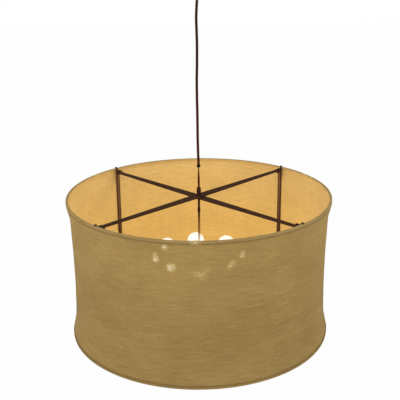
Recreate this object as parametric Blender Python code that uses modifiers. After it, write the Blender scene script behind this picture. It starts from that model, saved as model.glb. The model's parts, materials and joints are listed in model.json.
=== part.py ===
"""Drum chandelier: a linen drum on a frame of two crossed straps and four
uprights, with a ring of eight globe lamps inside, hung on one cloth-covered
cord from a ceiling canopy.

Metres, +Z up. The origin is on the ceiling face, at the middle of the canopy.
Pieces of the drum are built from the plane of its top rim, heights going down
as negative numbers, and are then carried by an empty in that plane."""

import math

import bmesh
import bpy
from mathutils import Matrix, Vector

# Fits
FIT_GAP = 0.0003
MERGE_DISTANCE = 0.00001
CUT_OVERRUN = 0.002
SHARP_ANGLE = math.radians(35)

# Linen drum
SHADE_DIAMETER = 0.762
SHADE_HEIGHT = 0.414
CEILING_TO_RIM = 0.600
WAIST_PULL_IN = 0.0141
FABRIC_WALL = 0.0012
HEM_WALL = 0.0012
HEM_HEIGHT = 0.010
HEM_TURN_IN = 0.0042
HEM_EDGE_ROUND = 0.003
HEM_EDGE_STEPS = 3
HEM_INSIDE_BEVEL = 0.0012
RING_WIRE = 0.003
DRUM_STEPS = 56
RING_WIRE_SIDES = 6
# Down the height, how much of the pull-in the cloth has taken between two uprights
PULL_IN_SHARES = (
    (0.04, 0.11), (0.11, 0.65), (0.23, 0.79), (0.37, 0.96), (0.51, 1.0),
    (0.64, 0.98), (0.78, 0.87), (0.87, 0.72), (0.94, 0.24), (0.97, 0.11),
)

# Crossed straps, uprights and rim clips
STRAP_THICKNESS = 0.003
STRAP_HUB_WIDTH = 0.029
STRAP_END_WIDTH = 0.0145
UPRIGHT_WIDTH = 0.013
UPRIGHT_THICKNESS = 0.003
UPRIGHT_SETBACK = 0.003
UPRIGHT_FLANGE = 0.020
BEND_RADIUS = 0.004
BEND_STEPS = 4
CLIP_WIDTH = 0.012
CLIP_THICKNESS = 0.0018
CLIP_REACH_IN = 0.0165
FINGER_WIDTH = 0.005
FINGER_RISE = 0.0025
FINGER_TIP_INSET = 0.002
FINGER_STEPS = 6
CORNERS = {
    "back_right": math.radians(45),
    "back_left": math.radians(135),
    "front_left": math.radians(225),
    "front_right": math.radians(315),
}
UPPER_STRAP_CORNERS = ("back_right", "front_left")

# Corner screws and nuts
SCREW_DIAMETER = 0.004
SCREW_HEAD_DIAMETER = 0.0075
SCREW_HEAD_HEIGHT = 0.0014
SCREW_SETBACK = 0.0105
SCREW_PAST_NUT = 0.001
NUT_ACROSS = 0.007
NUT_HEIGHT = 0.0032
SCREW_SIDES = 12
HOLE_SIDES = 12

# Hub and stem
COLLAR_DIAMETER = 0.0125
COLLAR_HEIGHT = 0.023
COLLAR_EDGE = 0.001
COLLAR_CORD_DEPTH = 0.008
STEM_DIAMETER = 0.0064
STEM_IN_COLLAR = 0.010
STEM_JOINT_DROP = 0.051
COUPLING_DIAMETER = 0.0088
COUPLING_LENGTH = 0.012
HUB_NUT_ACROSS = 0.011
HUB_NUT_HEIGHT = 0.005
STEM_SIDES = 12

# Lamp cluster
LAMP_COUNT = 8
LAMP_TURN = math.radians(5)
LAMP_CIRCLE_DIAMETER = 0.258
LAMP_DROP = 0.198
CLUSTER_DIAMETER = 0.060
CLUSTER_HEIGHT = 0.028
CLUSTER_EDGE = 0.003
CLUSTER_STEM_DEPTH = 0.010
CLUSTER_STEPS = 16
CAP_DIAMETER = 0.032
CAP_HEIGHT = 0.012
CAP_TOP_DIAMETER = 0.014
FINIAL_DIAMETER = 0.014
FINIAL_HEIGHT = 0.018
FINIAL_STUD_DIAMETER = 0.006
FINIAL_STUD_DEPTH = 0.006

# Lamp holders and lamps
SOCKET_DIAMETER = 0.023
SOCKET_LENGTH = 0.044
SOCKET_BACK_DIAMETER = 0.016
SOCKET_BACK_TAPER = 0.006
SOCKET_ARM_DIAMETER = 0.009
SOCKET_LIP = 0.002
SOCKET_BORE_DEPTH = 0.022
THREAD_GAP = 0.0005
GLOBE_DIAMETER = 0.052
GLOBE_FROM_SOCKET = 0.033
NECK_DIAMETER = 0.019
BASE_DIAMETER = 0.012
BASE_LENGTH = 0.016
BASE_TIP_DIAMETER = 0.006
BASE_TIP_LENGTH = 0.003
BASE_TIP_BORE = 0.002
GLASS_WALL = 0.001
GLOBE_STEPS = 8
LAMP_SIDES = 12

# Cord, ferrule and tail
CORD_DIAMETER = 0.0075
CORD_POINT_SPACING = 0.015
FERRULE_DIAMETER = 0.011
FERRULE_LENGTH = 0.0085
FERRULE_NECK_DIAMETER = 0.0082
FERRULE_RISE = 0.0815
TAIL_TOP_DIAMETER = 0.0032
TAIL_FOOT_DIAMETER = 0.0064
TAIL_IN_COLLAR = 0.006
TAIL_POINTS = 9
# Share of its length, from the ferrule down, over which the tail thickens
TAIL_SWELL_SHARE = 0.55
# Route of the cord from the bushing down to the ferrule: x, y and z from the ceiling face
CORD_ROUTE = (
    (0.0, 0.0, -0.0583), (-0.0011, 0.0, -0.0730), (-0.0026, 0.0002, -0.1050),
    (-0.0020, 0.0006, -0.1370), (-0.0012, 0.0008, -0.1700), (-0.0014, 0.0005, -0.2020),
    (-0.0018, 0.0, -0.2350), (-0.0027, -0.0004, -0.2680), (-0.0028, -0.0006, -0.3020),
    (-0.0025, -0.0004, -0.3350), (-0.0020, 0.0, -0.3680), (-0.0019, 0.0003, -0.4020),
    (-0.0018, 0.0004, -0.4360), (-0.0012, 0.0002, -0.4700), (-0.0004, 0.0, -0.4980),
    (0.0, 0.0, -0.51395),
)

# Ceiling fitting
CANOPY_DIAMETER = 0.130
CANOPY_DEPTH = 0.028
CANOPY_WALL = 0.0012
CANOPY_SKIRT = 0.008
CANOPY_SHOULDER = 0.014
CANOPY_STEPS = 32
SHOULDER_STEPS = 4
CROSSBAR_LENGTH = 0.104
CROSSBAR_WIDTH = 0.022
CROSSBAR_THICKNESS = 0.002
CANOPY_SCREW_SPACING = 0.092
CEILING_SCREW_SPACING = 0.070
CEILING_HOLE_DIAMETER = 0.005
GRIP_DIAMETER = 0.018
GRIP_NECK_DIAMETER = 0.010
GRIP_NECK_RISE = 0.008
GRIP_SHOULDER = 0.004
GRIP_NUT_ACROSS = 0.015
GRIP_NUT_HEIGHT = 0.004
GRIP_LIP = 0.003
PIVOT_DEPTH = 0.052
BUSHING_DIAMETER = 0.012
BUSHING_GAP = 0.0005
BUSHING_STEPS = 6
GRIP_SIDES = 12

# Sizes worked out from those above
RIM_RADIUS = SHADE_DIAMETER / 2
HEM_SEAT = HEM_WALL + FIT_GAP
WALL_SEAT = HEM_SEAT + FABRIC_WALL + FIT_GAP
WALL_TOP_DROP = HEM_WALL + HEM_INSIDE_BEVEL + FIT_GAP
RING_OUTER_RADIUS = RIM_RADIUS - WALL_SEAT
RING_RADIUS = RING_OUTER_RADIUS - RING_WIRE / 2
HEM_INNER_RADIUS = RING_OUTER_RADIUS - RING_WIRE - HEM_SEAT
UPRIGHT_OUTER = HEM_INNER_RADIUS - UPRIGHT_SETBACK
UPRIGHT_RADIUS = UPRIGHT_OUTER - UPRIGHT_THICKNESS / 2
RING_REST_RADIUS = RING_OUTER_RADIUS - UPRIGHT_WIDTH / 2 * math.tan(math.pi / DRUM_STEPS) - FIT_GAP
SCREW_RADIUS = UPRIGHT_RADIUS - SCREW_SETBACK
SCREW_HOLE_DIAMETER = SCREW_DIAMETER + 2 * FIT_GAP

RING_DEPTH = HEM_SEAT + RING_WIRE
CLIP_TOP = -RING_DEPTH - FIT_GAP
UPPER_STRAP_TOP = CLIP_TOP - CLIP_THICKNESS - FIT_GAP
LOWER_STRAP_TOP = UPPER_STRAP_TOP - STRAP_THICKNESS - FIT_GAP
STACK_BOTTOM = LOWER_STRAP_TOP - STRAP_THICKNESS
FOOT_BOTTOM = -SHADE_HEIGHT + RING_DEPTH + FIT_GAP

COLLAR_BOTTOM = UPPER_STRAP_TOP + FIT_GAP
COLLAR_TOP = COLLAR_BOTTOM + COLLAR_HEIGHT
STEM_HOLE_DIAMETER = STEM_DIAMETER + 2 * FIT_GAP
CLUSTER_TOP = -LAMP_DROP + CLUSTER_HEIGHT / 2
CLUSTER_BOTTOM = -LAMP_DROP - CLUSTER_HEIGHT / 2
SOCKET_MOUTH_RADIUS = LAMP_CIRCLE_DIAMETER / 2 - GLOBE_FROM_SOCKET
SOCKET_BACK_RADIUS = SOCKET_MOUTH_RADIUS - SOCKET_LENGTH
CLUSTER_FACE_RADIUS = CLUSTER_DIAMETER / 2 * math.cos(math.pi / CLUSTER_STEPS)
FERRULE_BOTTOM = FERRULE_RISE - FERRULE_LENGTH / 2


def clear_scene():
    for item in list(bpy.data.objects):
        bpy.data.objects.remove(item, do_unlink=True)


def new_collection(name):
    made = bpy.data.collections.new(name)
    bpy.context.scene.collection.children.link(made)
    return made


clear_scene()
PARTS = new_collection("drum_chandelier")
CUTTERS = new_collection("drum_chandelier_cutters")

# Finishes: colour, roughness, metallic
BRONZE = ((0.050, 0.024, 0.012), 0.45, 0.6)
RUST_BRONZE = ((0.110, 0.045, 0.022), 0.5, 0.5)
ZINC = ((0.55, 0.55, 0.53), 0.35, 1.0)
LINEN = ((0.38, 0.27, 0.12), 0.9, 0.0)
LINEN_HEM = ((0.34, 0.27, 0.13), 0.9, 0.0)
RING_STEEL = ((0.40, 0.39, 0.37), 0.4, 1.0)
CLOTH_CORD = ((0.045, 0.015, 0.010), 0.85, 0.0)
RUBBER = ((0.010, 0.010, 0.010), 0.6, 0.0)
SOCKET_PLASTIC = ((0.045, 0.030, 0.022), 0.4, 0.0)
OPAL_GLASS = ((0.93, 0.90, 0.84), 0.15, 0.0)


def dress(obj, finish):
    """Give an object a material of its own with this colour, roughness and metallic value."""
    colour, roughness, metallic = finish
    material = bpy.data.materials.new(obj.name + "_finish")
    material.use_nodes = True
    shader = material.node_tree.nodes["Principled BSDF"]
    shader.inputs["Base Color"].default_value = (*colour, 1)
    shader.inputs["Roughness"].default_value = roughness
    shader.inputs["Metallic"].default_value = metallic
    obj.data.materials.clear()
    obj.data.materials.append(material)


def new_empty(name, parent, drop):
    """A carrying point on the axis of the light, this far below its parent."""
    empty = bpy.data.objects.new(name, None)
    empty.parent = parent
    empty.location = (0, 0, -drop)
    PARTS.objects.link(empty)
    return empty


def place(obj, parent, finish, location=(0, 0, 0), rotation=(0, 0, 0)):
    obj.parent = parent
    obj.location = location
    obj.rotation_euler = rotation
    dress(obj, finish)
    return obj


def mesh_object(name, bm, collection):
    mesh = bpy.data.meshes.new(name)
    bm.to_mesh(mesh)
    bm.free()
    obj = bpy.data.objects.new(name, mesh)
    collection.objects.link(obj)
    return obj


def settle(obj):
    """Turn an object and its modifiers into one welded mesh, smooth with sharp corners."""
    bpy.context.view_layer.update()
    evaluated = obj.evaluated_get(bpy.context.evaluated_depsgraph_get())
    mesh = bpy.data.meshes.new_from_object(evaluated)
    welded = bmesh.new()
    welded.from_mesh(mesh)
    bmesh.ops.remove_doubles(welded, verts=welded.verts, dist=MERGE_DISTANCE)
    welded.to_mesh(mesh)
    welded.free()
    mesh.shade_smooth()
    mesh.set_sharp_from_angle(angle=SHARP_ANGLE)
    name = obj.name
    bpy.data.objects.remove(obj, do_unlink=True)
    solid = bpy.data.objects.new(name, mesh)
    PARTS.objects.link(solid)
    return solid


def turned(name, profile, steps):
    """Turn (radius, height) points about Z; a profile that misses the axis is a closed ring."""
    bm = bmesh.new()
    points = [bm.verts.new((radius, 0, height)) for radius, height in profile]
    for start, end in zip(points, points[1:]):
        bm.edges.new((start, end))
    if profile[0][0] > 0:
        bm.edges.new((points[-1], points[0]))
    obj = mesh_object(name, bm, PARTS)
    screw = obj.modifiers.new("Turn", "SCREW")
    screw.steps = steps
    screw.render_steps = steps
    screw.use_merge_vertices = True
    screw.merge_threshold = MERGE_DISTANCE
    return settle(obj)


def rod(name, radius, bottom, top, sides, collection=PARTS):
    bm = bmesh.new()
    lift = Matrix.Translation((0, 0, (bottom + top) / 2))
    bmesh.ops.create_cone(bm, cap_ends=True, segments=sides, radius1=radius,
                          radius2=radius, depth=top - bottom, matrix=lift)
    return mesh_object(name, bm, collection)


def ring_of(name, outer, inner, bottom, top, steps):
    profile = ((outer, top), (outer, bottom), (inner, bottom), (inner, top))
    return turned(name, profile, steps)


def hexagon_nut(name, across, bore, bottom, top):
    """A six-sided nut whose bore also has flats, so its corners stand further out."""
    corner = 1 / math.cos(math.pi / 6)
    return ring_of(name, across / 2 * corner, bore / 2 * corner, bottom, top, 6)


def drill(obj, radius, x, y, bottom, top):
    """Cut an upright round hole at x, y in the object's own space."""
    cutter = rod(obj.name + "_cutter", radius, bottom - CUT_OVERRUN, top + CUT_OVERRUN,
                 HOLE_SIDES, CUTTERS)
    cutter.location = (x, y, 0)
    cutter.hide_render = True
    cutter.display_type = "WIRE"
    cut = obj.modifiers.new("Hole", "BOOLEAN")
    cut.operation = "DIFFERENCE"
    cut.object = cutter


def bent_strip(name, path, width, thickness):
    """A strip bent along (radius, height) points, its width along Y."""
    bm = bmesh.new()
    points = [bm.verts.new((radius, -width / 2, height)) for radius, height in path]
    edges = [bm.edges.new(pair) for pair in zip(points, points[1:])]
    swept = bmesh.ops.extrude_edge_only(bm, edges=edges)["geom"]
    far_side = [item for item in swept if isinstance(item, bmesh.types.BMVert)]
    bmesh.ops.translate(bm, verts=far_side, vec=(0, width, 0))
    obj = mesh_object(name, bm, PARTS)
    shell = obj.modifiers.new("Thickness", "SOLIDIFY")
    shell.thickness = thickness
    shell.offset = 0
    shell.use_even_offset = True
    return obj


def arc(centre, radius, start, end, steps):
    """Points of an arc from one angle to another, both ends included."""
    return [
        (centre[0] + radius * math.cos(angle), centre[1] + radius * math.sin(angle))
        for angle in (start + (end - start) * i / steps for i in range(steps + 1))
    ]


def on_corner(corner, radius):
    """A place on the drum's frame at this radius from its axis, in the rim's plane."""
    return (radius * math.cos(CORNERS[corner]), radius * math.sin(CORNERS[corner]), 0)


def pull_in_at(height):
    """How far inside the rim the cloth's outer face lies, between two uprights."""
    share = -height / SHADE_HEIGHT
    for (above, pull_above), (below, pull_below) in zip(PULL_IN_SHARES, PULL_IN_SHARES[1:]):
        if above <= share <= below:
            part = (share - above) / (below - above)
            return max(HEM_SEAT, WAIST_PULL_IN * (pull_above + part * (pull_below - pull_above)))
    return HEM_SEAT


def shade_fabric(parent):
    """The linen wall: pulled in between the rings, held out where it crosses an upright."""
    heights = [-WALL_TOP_DROP]
    heights += [-share * SHADE_HEIGHT for share, _ in PULL_IN_SHARES]
    heights += [WALL_TOP_DROP - SHADE_HEIGHT]
    outer = [(RIM_RADIUS - pull_in_at(height), height) for height in heights]
    inner = [(radius - FABRIC_WALL, height) for radius, height in reversed(outer)]
    wall = turned("shade_fabric", outer + inner, DRUM_STEPS)
    facet_drop = UPRIGHT_WIDTH / 2 * math.tan(math.pi / DRUM_STEPS)
    held_at = RIM_RADIUS - (UPRIGHT_OUTER + FIT_GAP + facet_drop + FABRIC_WALL)
    for vertex in wall.data.vertices:
        across = Vector((vertex.co.x, vertex.co.y))
        off_upright = math.atan2(across.y, across.x) - CORNERS["back_right"]
        nearness = (1 + math.cos(len(CORNERS) * off_upright)) / 2
        push = max(0, pull_in_at(vertex.co.z) - held_at) * nearness
        across += across.normalized() * push
        vertex.co.x, vertex.co.y = across
    place(wall, parent, LINEN)


def hem(name, parent, finish):
    """A band of linen folded over a wire ring, built as the top hem."""
    outer_skin = RIM_RADIUS - HEM_WALL
    inner_skin = HEM_INNER_RADIUS + HEM_WALL
    bevel = HEM_INSIDE_BEVEL
    outer_edge = (RIM_RADIUS - HEM_EDGE_ROUND, -HEM_EDGE_ROUND)
    inner_edge = (HEM_INNER_RADIUS + HEM_EDGE_ROUND, -HEM_EDGE_ROUND)
    profile = arc(outer_edge, HEM_EDGE_ROUND, math.pi / 2, 0, HEM_EDGE_STEPS)
    profile += [
        (RIM_RADIUS, -HEM_HEIGHT), (outer_skin, -HEM_HEIGHT), (outer_skin, -HEM_WALL - bevel),
        (outer_skin - bevel, -HEM_WALL), (inner_skin + bevel, -HEM_WALL),
        (inner_skin, -HEM_WALL - bevel), (inner_skin, -HEM_TURN_IN), (HEM_INNER_RADIUS, -HEM_TURN_IN),
    ]
    profile += arc(inner_edge, HEM_EDGE_ROUND, math.pi, math.pi / 2, HEM_EDGE_STEPS)
    band = turned(name, profile, DRUM_STEPS)
    return place(band, parent, finish)


def bottom_hem(parent):
    band = hem("bottom_hem", parent, LINEN_HEM)
    band.data.transform(Matrix.Rotation(math.pi, 4, "X"))
    band.location.z = -SHADE_HEIGHT


def wire_ring(name, height, parent):
    bpy.ops.mesh.primitive_torus_add(
        major_segments=DRUM_STEPS, minor_segments=RING_WIRE_SIDES,
        major_radius=RING_RADIUS, minor_radius=RING_WIRE / 2)
    ring = bpy.context.object
    ring.name = name
    for owner in list(ring.users_collection):
        owner.objects.unlink(ring)
    PARTS.objects.link(ring)
    ring.data.shade_smooth()
    place(ring, parent, RING_STEEL, (0, 0, height))


def cross_strap(name, half_length, top, azimuth, parent):
    """A flat bar, widest at the hub, with holes for the stem and the corner screws."""
    hub = STRAP_HUB_WIDTH / 2
    end = STRAP_END_WIDTH / 2
    outline = ((-half_length, -end), (0, -hub), (half_length, -end),
               (half_length, end), (0, hub), (-half_length, end))
    curve = bpy.data.curves.new(name, "CURVE")
    curve.dimensions = "2D"
    curve.fill_mode = "BOTH"
    curve.extrude = STRAP_THICKNESS / 2
    holes = [(0, STEM_HOLE_DIAMETER / 2)]
    holes += [(side * SCREW_RADIUS, SCREW_HOLE_DIAMETER / 2) for side in (-1, 1)]
    loops = [outline]
    loops += [arc((x, 0), radius, 0, 2 * math.pi, HOLE_SIDES)[:-1] for x, radius in holes]
    for loop in loops:
        spline = curve.splines.new("POLY")
        spline.points.add(len(loop) - 1)
        spline.use_cyclic_u = True
        for point, (x, y) in zip(spline.points, loop):
            point.co = (x, y, 0, 1)
    flat = bpy.data.objects.new(name, curve)
    PARTS.objects.link(flat)
    strap = settle(flat)
    place(strap, parent, BRONZE, (0, 0, top - STRAP_THICKNESS / 2), (0, 0, azimuth))


def upright(corner, parent):
    """A bent strap: flange at the arm's end, straight leg, foot on the bottom ring."""
    lies_under_strap = corner in UPPER_STRAP_CORNERS
    flange_top = LOWER_STRAP_TOP if lies_under_strap else UPPER_STRAP_TOP
    flange = flange_top - UPRIGHT_THICKNESS / 2
    foot = FOOT_BOTTOM + UPRIGHT_THICKNESS / 2
    inner = UPRIGHT_RADIUS - BEND_RADIUS
    path = [(UPRIGHT_RADIUS - UPRIGHT_FLANGE, flange)]
    path += arc((inner, flange - BEND_RADIUS), BEND_RADIUS, math.pi / 2, 0, BEND_STEPS)
    path += arc((UPRIGHT_RADIUS + BEND_RADIUS, foot + BEND_RADIUS), BEND_RADIUS,
                math.pi, 3 * math.pi / 2, BEND_STEPS)
    path += [(RING_REST_RADIUS, foot)]
    leg = bent_strip("upright_" + corner, path, UPRIGHT_WIDTH, UPRIGHT_THICKNESS)
    drill(leg, SCREW_HOLE_DIAMETER / 2, SCREW_RADIUS, 0, flange, flange_top)
    place(settle(leg), parent, RUST_BRONZE, (0, 0, 0), (0, 0, CORNERS[corner]))


def rim_clip(corner, parent):
    """A plate under the top ring with a finger that arches over the hem."""
    plate_height = CLIP_TOP - CLIP_THICKNESS / 2
    plate_path = ((UPRIGHT_RADIUS - CLIP_REACH_IN, plate_height), (RING_REST_RADIUS, plate_height))
    plate = bent_strip("rim_clip_" + corner, plate_path, CLIP_WIDTH, CLIP_THICKNESS)
    root = HEM_INNER_RADIUS - FIT_GAP - CLIP_THICKNESS / 2
    tip = RIM_RADIUS - FINGER_TIP_INSET
    half_span = (tip - root) / 2
    path = [(root, plate_height)]
    for i in range(FINGER_STEPS + 1):
        angle = math.pi * (1 - i / FINGER_STEPS)
        path.append((root + half_span * (1 + math.cos(angle)),
                     2 * FIT_GAP + FINGER_RISE * math.sin(angle)))
    finger = settle(bent_strip("finger_of_" + corner, path, FINGER_WIDTH, CLIP_THICKNESS))
    PARTS.objects.unlink(finger)
    CUTTERS.objects.link(finger)
    finger.hide_render = True
    finger.display_type = "WIRE"
    join = plate.modifiers.new("Finger", "BOOLEAN")
    join.operation = "UNION"
    join.object = finger
    drill(plate, SCREW_HOLE_DIAMETER / 2, SCREW_RADIUS, 0, plate_height, CLIP_TOP)
    place(settle(plate), parent, BRONZE, (0, 0, 0), (0, 0, CORNERS[corner]))


def screw_profile(diameter, head_diameter, head_height, under_head, tip):
    """A screw standing head up, its head rounded off at the rim."""
    crown = under_head + head_height
    return (
        (0, crown), (head_diameter / 3, crown), (head_diameter / 2, under_head + head_height / 3),
        (head_diameter / 2, under_head), (diameter / 2, under_head), (diameter / 2, tip), (0, tip),
    )


def corner_fasteners(corner, parent):
    """The screw and nut that clamp clip, strap and upright at one corner."""
    nut_top = STACK_BOTTOM - FIT_GAP
    nut_bottom = nut_top - NUT_HEIGHT
    profile = screw_profile(SCREW_DIAMETER, SCREW_HEAD_DIAMETER, SCREW_HEAD_HEIGHT,
                            CLIP_TOP + FIT_GAP, nut_bottom - SCREW_PAST_NUT)
    screw = turned("corner_screw_" + corner, profile, SCREW_SIDES)
    nut = hexagon_nut("corner_nut_" + corner, NUT_ACROSS, SCREW_HOLE_DIAMETER, nut_bottom, nut_top)
    for piece in (screw, nut):
        place(piece, parent, BRONZE, on_corner(corner, SCREW_RADIUS), (0, 0, CORNERS[corner]))


def hub(parent):
    """The collar that grips the cord's tail, and the nut that clamps both straps."""
    radius = COLLAR_DIAMETER / 2
    cord_bore = TAIL_FOOT_DIAMETER / 2 + FIT_GAP
    stem_bore = STEM_HOLE_DIAMETER / 2
    cord_floor = COLLAR_TOP - COLLAR_CORD_DEPTH
    stem_roof = COLLAR_BOTTOM + STEM_IN_COLLAR + FIT_GAP
    profile = (
        (0, cord_floor), (cord_bore, cord_floor), (cord_bore, COLLAR_TOP),
        (radius - COLLAR_EDGE, COLLAR_TOP), (radius, COLLAR_TOP - COLLAR_EDGE),
        (radius, COLLAR_BOTTOM), (stem_bore, COLLAR_BOTTOM), (stem_bore, stem_roof), (0, stem_roof),
    )
    place(turned("hub_collar", profile, STEM_SIDES), parent, BRONZE)
    nut_top = STACK_BOTTOM - FIT_GAP
    nut = hexagon_nut("hub_nut", HUB_NUT_ACROSS, STEM_HOLE_DIAMETER, nut_top - HUB_NUT_HEIGHT, nut_top)
    place(nut, parent, BRONZE)


def stem(parent):
    """Two rods butted together inside a coupling."""
    meeting = -STEM_JOINT_DROP
    radius = STEM_DIAMETER / 2
    bottom = CLUSTER_TOP - CLUSTER_STEM_DEPTH + FIT_GAP
    upper = rod("stem_upper", radius, meeting + FIT_GAP / 2, COLLAR_BOTTOM + STEM_IN_COLLAR, STEM_SIDES)
    lower = rod("stem_lower", radius, bottom, meeting - FIT_GAP / 2, STEM_SIDES)
    for piece in (upper, lower):
        piece.data.shade_smooth()
        piece.data.set_sharp_from_angle(angle=SHARP_ANGLE)
        place(piece, parent, BRONZE)
    coupling = ring_of("stem_coupling", COUPLING_DIAMETER / 2, STEM_HOLE_DIAMETER / 2,
                       meeting - COUPLING_LENGTH / 2, meeting + COUPLING_LENGTH / 2, STEM_SIDES)
    place(coupling, parent, BRONZE)


def cluster(parent):
    """The body that the lamp holders branch from, with its cap and finial."""
    radius = CLUSTER_DIAMETER / 2
    bore = STEM_HOLE_DIAMETER / 2
    floor = CLUSTER_TOP - CLUSTER_STEM_DEPTH
    stud_bore = FINIAL_STUD_DIAMETER / 2 + FIT_GAP
    roof = CLUSTER_BOTTOM + FINIAL_STUD_DEPTH + FIT_GAP
    profile = (
        (0, floor), (bore, floor), (bore, CLUSTER_TOP), (radius - CLUSTER_EDGE, CLUSTER_TOP),
        (radius, CLUSTER_TOP - CLUSTER_EDGE), (radius, CLUSTER_BOTTOM + CLUSTER_EDGE),
        (radius - CLUSTER_EDGE, CLUSTER_BOTTOM), (stud_bore, CLUSTER_BOTTOM), (stud_bore, roof), (0, roof),
    )
    facet_turn = LAMP_TURN - math.pi / CLUSTER_STEPS
    body = turned("cluster_body", profile, CLUSTER_STEPS)
    place(body, parent, BRONZE, (0, 0, 0), (0, 0, facet_turn))

    cap_bottom = CLUSTER_TOP + FIT_GAP
    cap_top = cap_bottom + CAP_HEIGHT
    cap_profile = (
        (bore, cap_top), (CAP_TOP_DIAMETER / 2, cap_top),
        (CAP_DIAMETER / 2, cap_bottom + CAP_HEIGHT / 3), (CAP_DIAMETER / 2, cap_bottom), (bore, cap_bottom),
    )
    place(turned("cluster_cap", cap_profile, CLUSTER_STEPS), parent, BRONZE)

    seat = CLUSTER_BOTTOM - FIT_GAP
    stud = FINIAL_STUD_DIAMETER / 2
    knob = FINIAL_DIAMETER / 2
    finial_profile = [(0, seat + FINIAL_STUD_DEPTH), (stud, seat + FINIAL_STUD_DEPTH), (stud, seat)]
    finial_profile += [(knob, seat), (knob * 3 / 4, seat - FINIAL_HEIGHT / 4)]
    ball_centre = seat - FINIAL_HEIGHT + knob
    finial_profile += arc((0, ball_centre), knob, math.pi / 4, -math.pi / 2, 5)[:-1]
    finial_profile += [(0, ball_centre - knob)]
    place(turned("finial", finial_profile, LAMP_SIDES), parent, BRONZE)


def lamp_azimuths():
    return [LAMP_TURN + 2 * math.pi * i / LAMP_COUNT for i in range(LAMP_COUNT)]


def outward(azimuth):
    """Rotation that lays a piece built along +Z outward along this azimuth."""
    return (0, math.pi / 2, azimuth)


def around(azimuth, radius):
    return (radius * math.cos(azimuth), radius * math.sin(azimuth), -LAMP_DROP)


def lamp_holder(number, azimuth, parent):
    """A holder on the short arm that carries it from the cluster body."""
    radius = SOCKET_DIAMETER / 2
    arm = SOCKET_ARM_DIAMETER / 2
    arm_foot = CLUSTER_FACE_RADIUS + FIT_GAP - SOCKET_BACK_RADIUS
    bore = BASE_DIAMETER / 2 + THREAD_GAP
    floor = SOCKET_LENGTH - SOCKET_BORE_DEPTH
    profile = (
        (0, floor), (bore, floor), (bore, SOCKET_LENGTH), (radius - SOCKET_LIP, SOCKET_LENGTH),
        (radius, SOCKET_LENGTH - SOCKET_LIP), (radius, SOCKET_BACK_TAPER),
        (SOCKET_BACK_DIAMETER / 2, 0), (arm, 0), (arm, arm_foot), (0, arm_foot),
    )
    holder = turned(f"socket_{number}", profile, LAMP_SIDES)
    place(holder, parent, SOCKET_PLASTIC, around(azimuth, SOCKET_BACK_RADIUS), outward(azimuth))


def lamp(number, azimuth, parent):
    """A hollow globe lamp, open at the tip of its screw base; its origin is at the holder's mouth."""
    globe = GLOBE_DIAMETER / 2
    neck = NECK_DIAMETER / 2
    base = BASE_DIAMETER / 2
    tip = -BASE_LENGTH - BASE_TIP_LENGTH
    centre = (0, GLOBE_FROM_SOCKET)
    neck_angle = math.asin(neck / globe) - math.pi / 2
    profile = [(0, GLOBE_FROM_SOCKET + globe)]
    profile += arc(centre, globe, math.pi / 2, neck_angle, GLOBE_STEPS)[1:]
    profile += [
        (base + THREAD_GAP, 2 * FIT_GAP), (base, 2 * FIT_GAP), (base, -BASE_LENGTH),
        (BASE_TIP_DIAMETER / 2, tip), (BASE_TIP_BORE / 2, tip),
        (base - GLASS_WALL, -BASE_LENGTH), (base - GLASS_WALL, 2 * FIT_GAP),
    ]
    profile += arc(centre, globe - GLASS_WALL, neck_angle, math.pi / 2, GLOBE_STEPS // 2)[:-1]
    profile += [(0, GLOBE_FROM_SOCKET + globe - GLASS_WALL)]
    bulb = turned(f"bulb_{number}", profile, LAMP_SIDES)
    place(bulb, parent, OPAL_GLASS, around(azimuth, SOCKET_MOUTH_RADIUS), outward(azimuth))


def smooth_route(points, spacing):
    """Points read every so often from a smooth curve through the route's own points."""
    route = [Vector(point) for point in points]
    padded = [2 * route[0] - route[1], *route, 2 * route[-1] - route[-2]]
    read = []
    for before, start, end, after in zip(padded, padded[1:], padded[2:], padded[3:]):
        count = max(1, round((end - start).length / spacing))
        for i in range(count):
            t = i / count
            read.append(0.5 * (2 * start + (end - before) * t
                               + (2 * before - 5 * start + 4 * end - after) * t ** 2
                               + (3 * start - before - 3 * end + after) * t ** 3))
    read.append(route[-1])
    return read


def tube(name, points, diameters, parent, finish):
    """A round cord along the points, each with a diameter of its own."""
    curve = bpy.data.curves.new(name, "CURVE")
    curve.dimensions = "3D"
    curve.bevel_depth = max(diameters) / 2
    curve.bevel_resolution = 2
    curve.use_fill_caps = True
    spline = curve.splines.new("POLY")
    spline.points.add(len(points) - 1)
    for point, place_of, diameter in zip(spline.points, points, diameters):
        point.co = (*place_of, 1)
        point.radius = diameter / max(diameters)
    cord = bpy.data.objects.new(name, curve)
    PARTS.objects.link(cord)
    return place(cord, parent, finish)


def pendant_cord(parent):
    route = smooth_route(CORD_ROUTE, CORD_POINT_SPACING)
    from_pivot = [point + Vector((0, 0, PIVOT_DEPTH)) for point in route]
    tube("pendant_cord", from_pivot, [CORD_DIAMETER] * len(route), parent, CLOTH_CORD)


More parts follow.
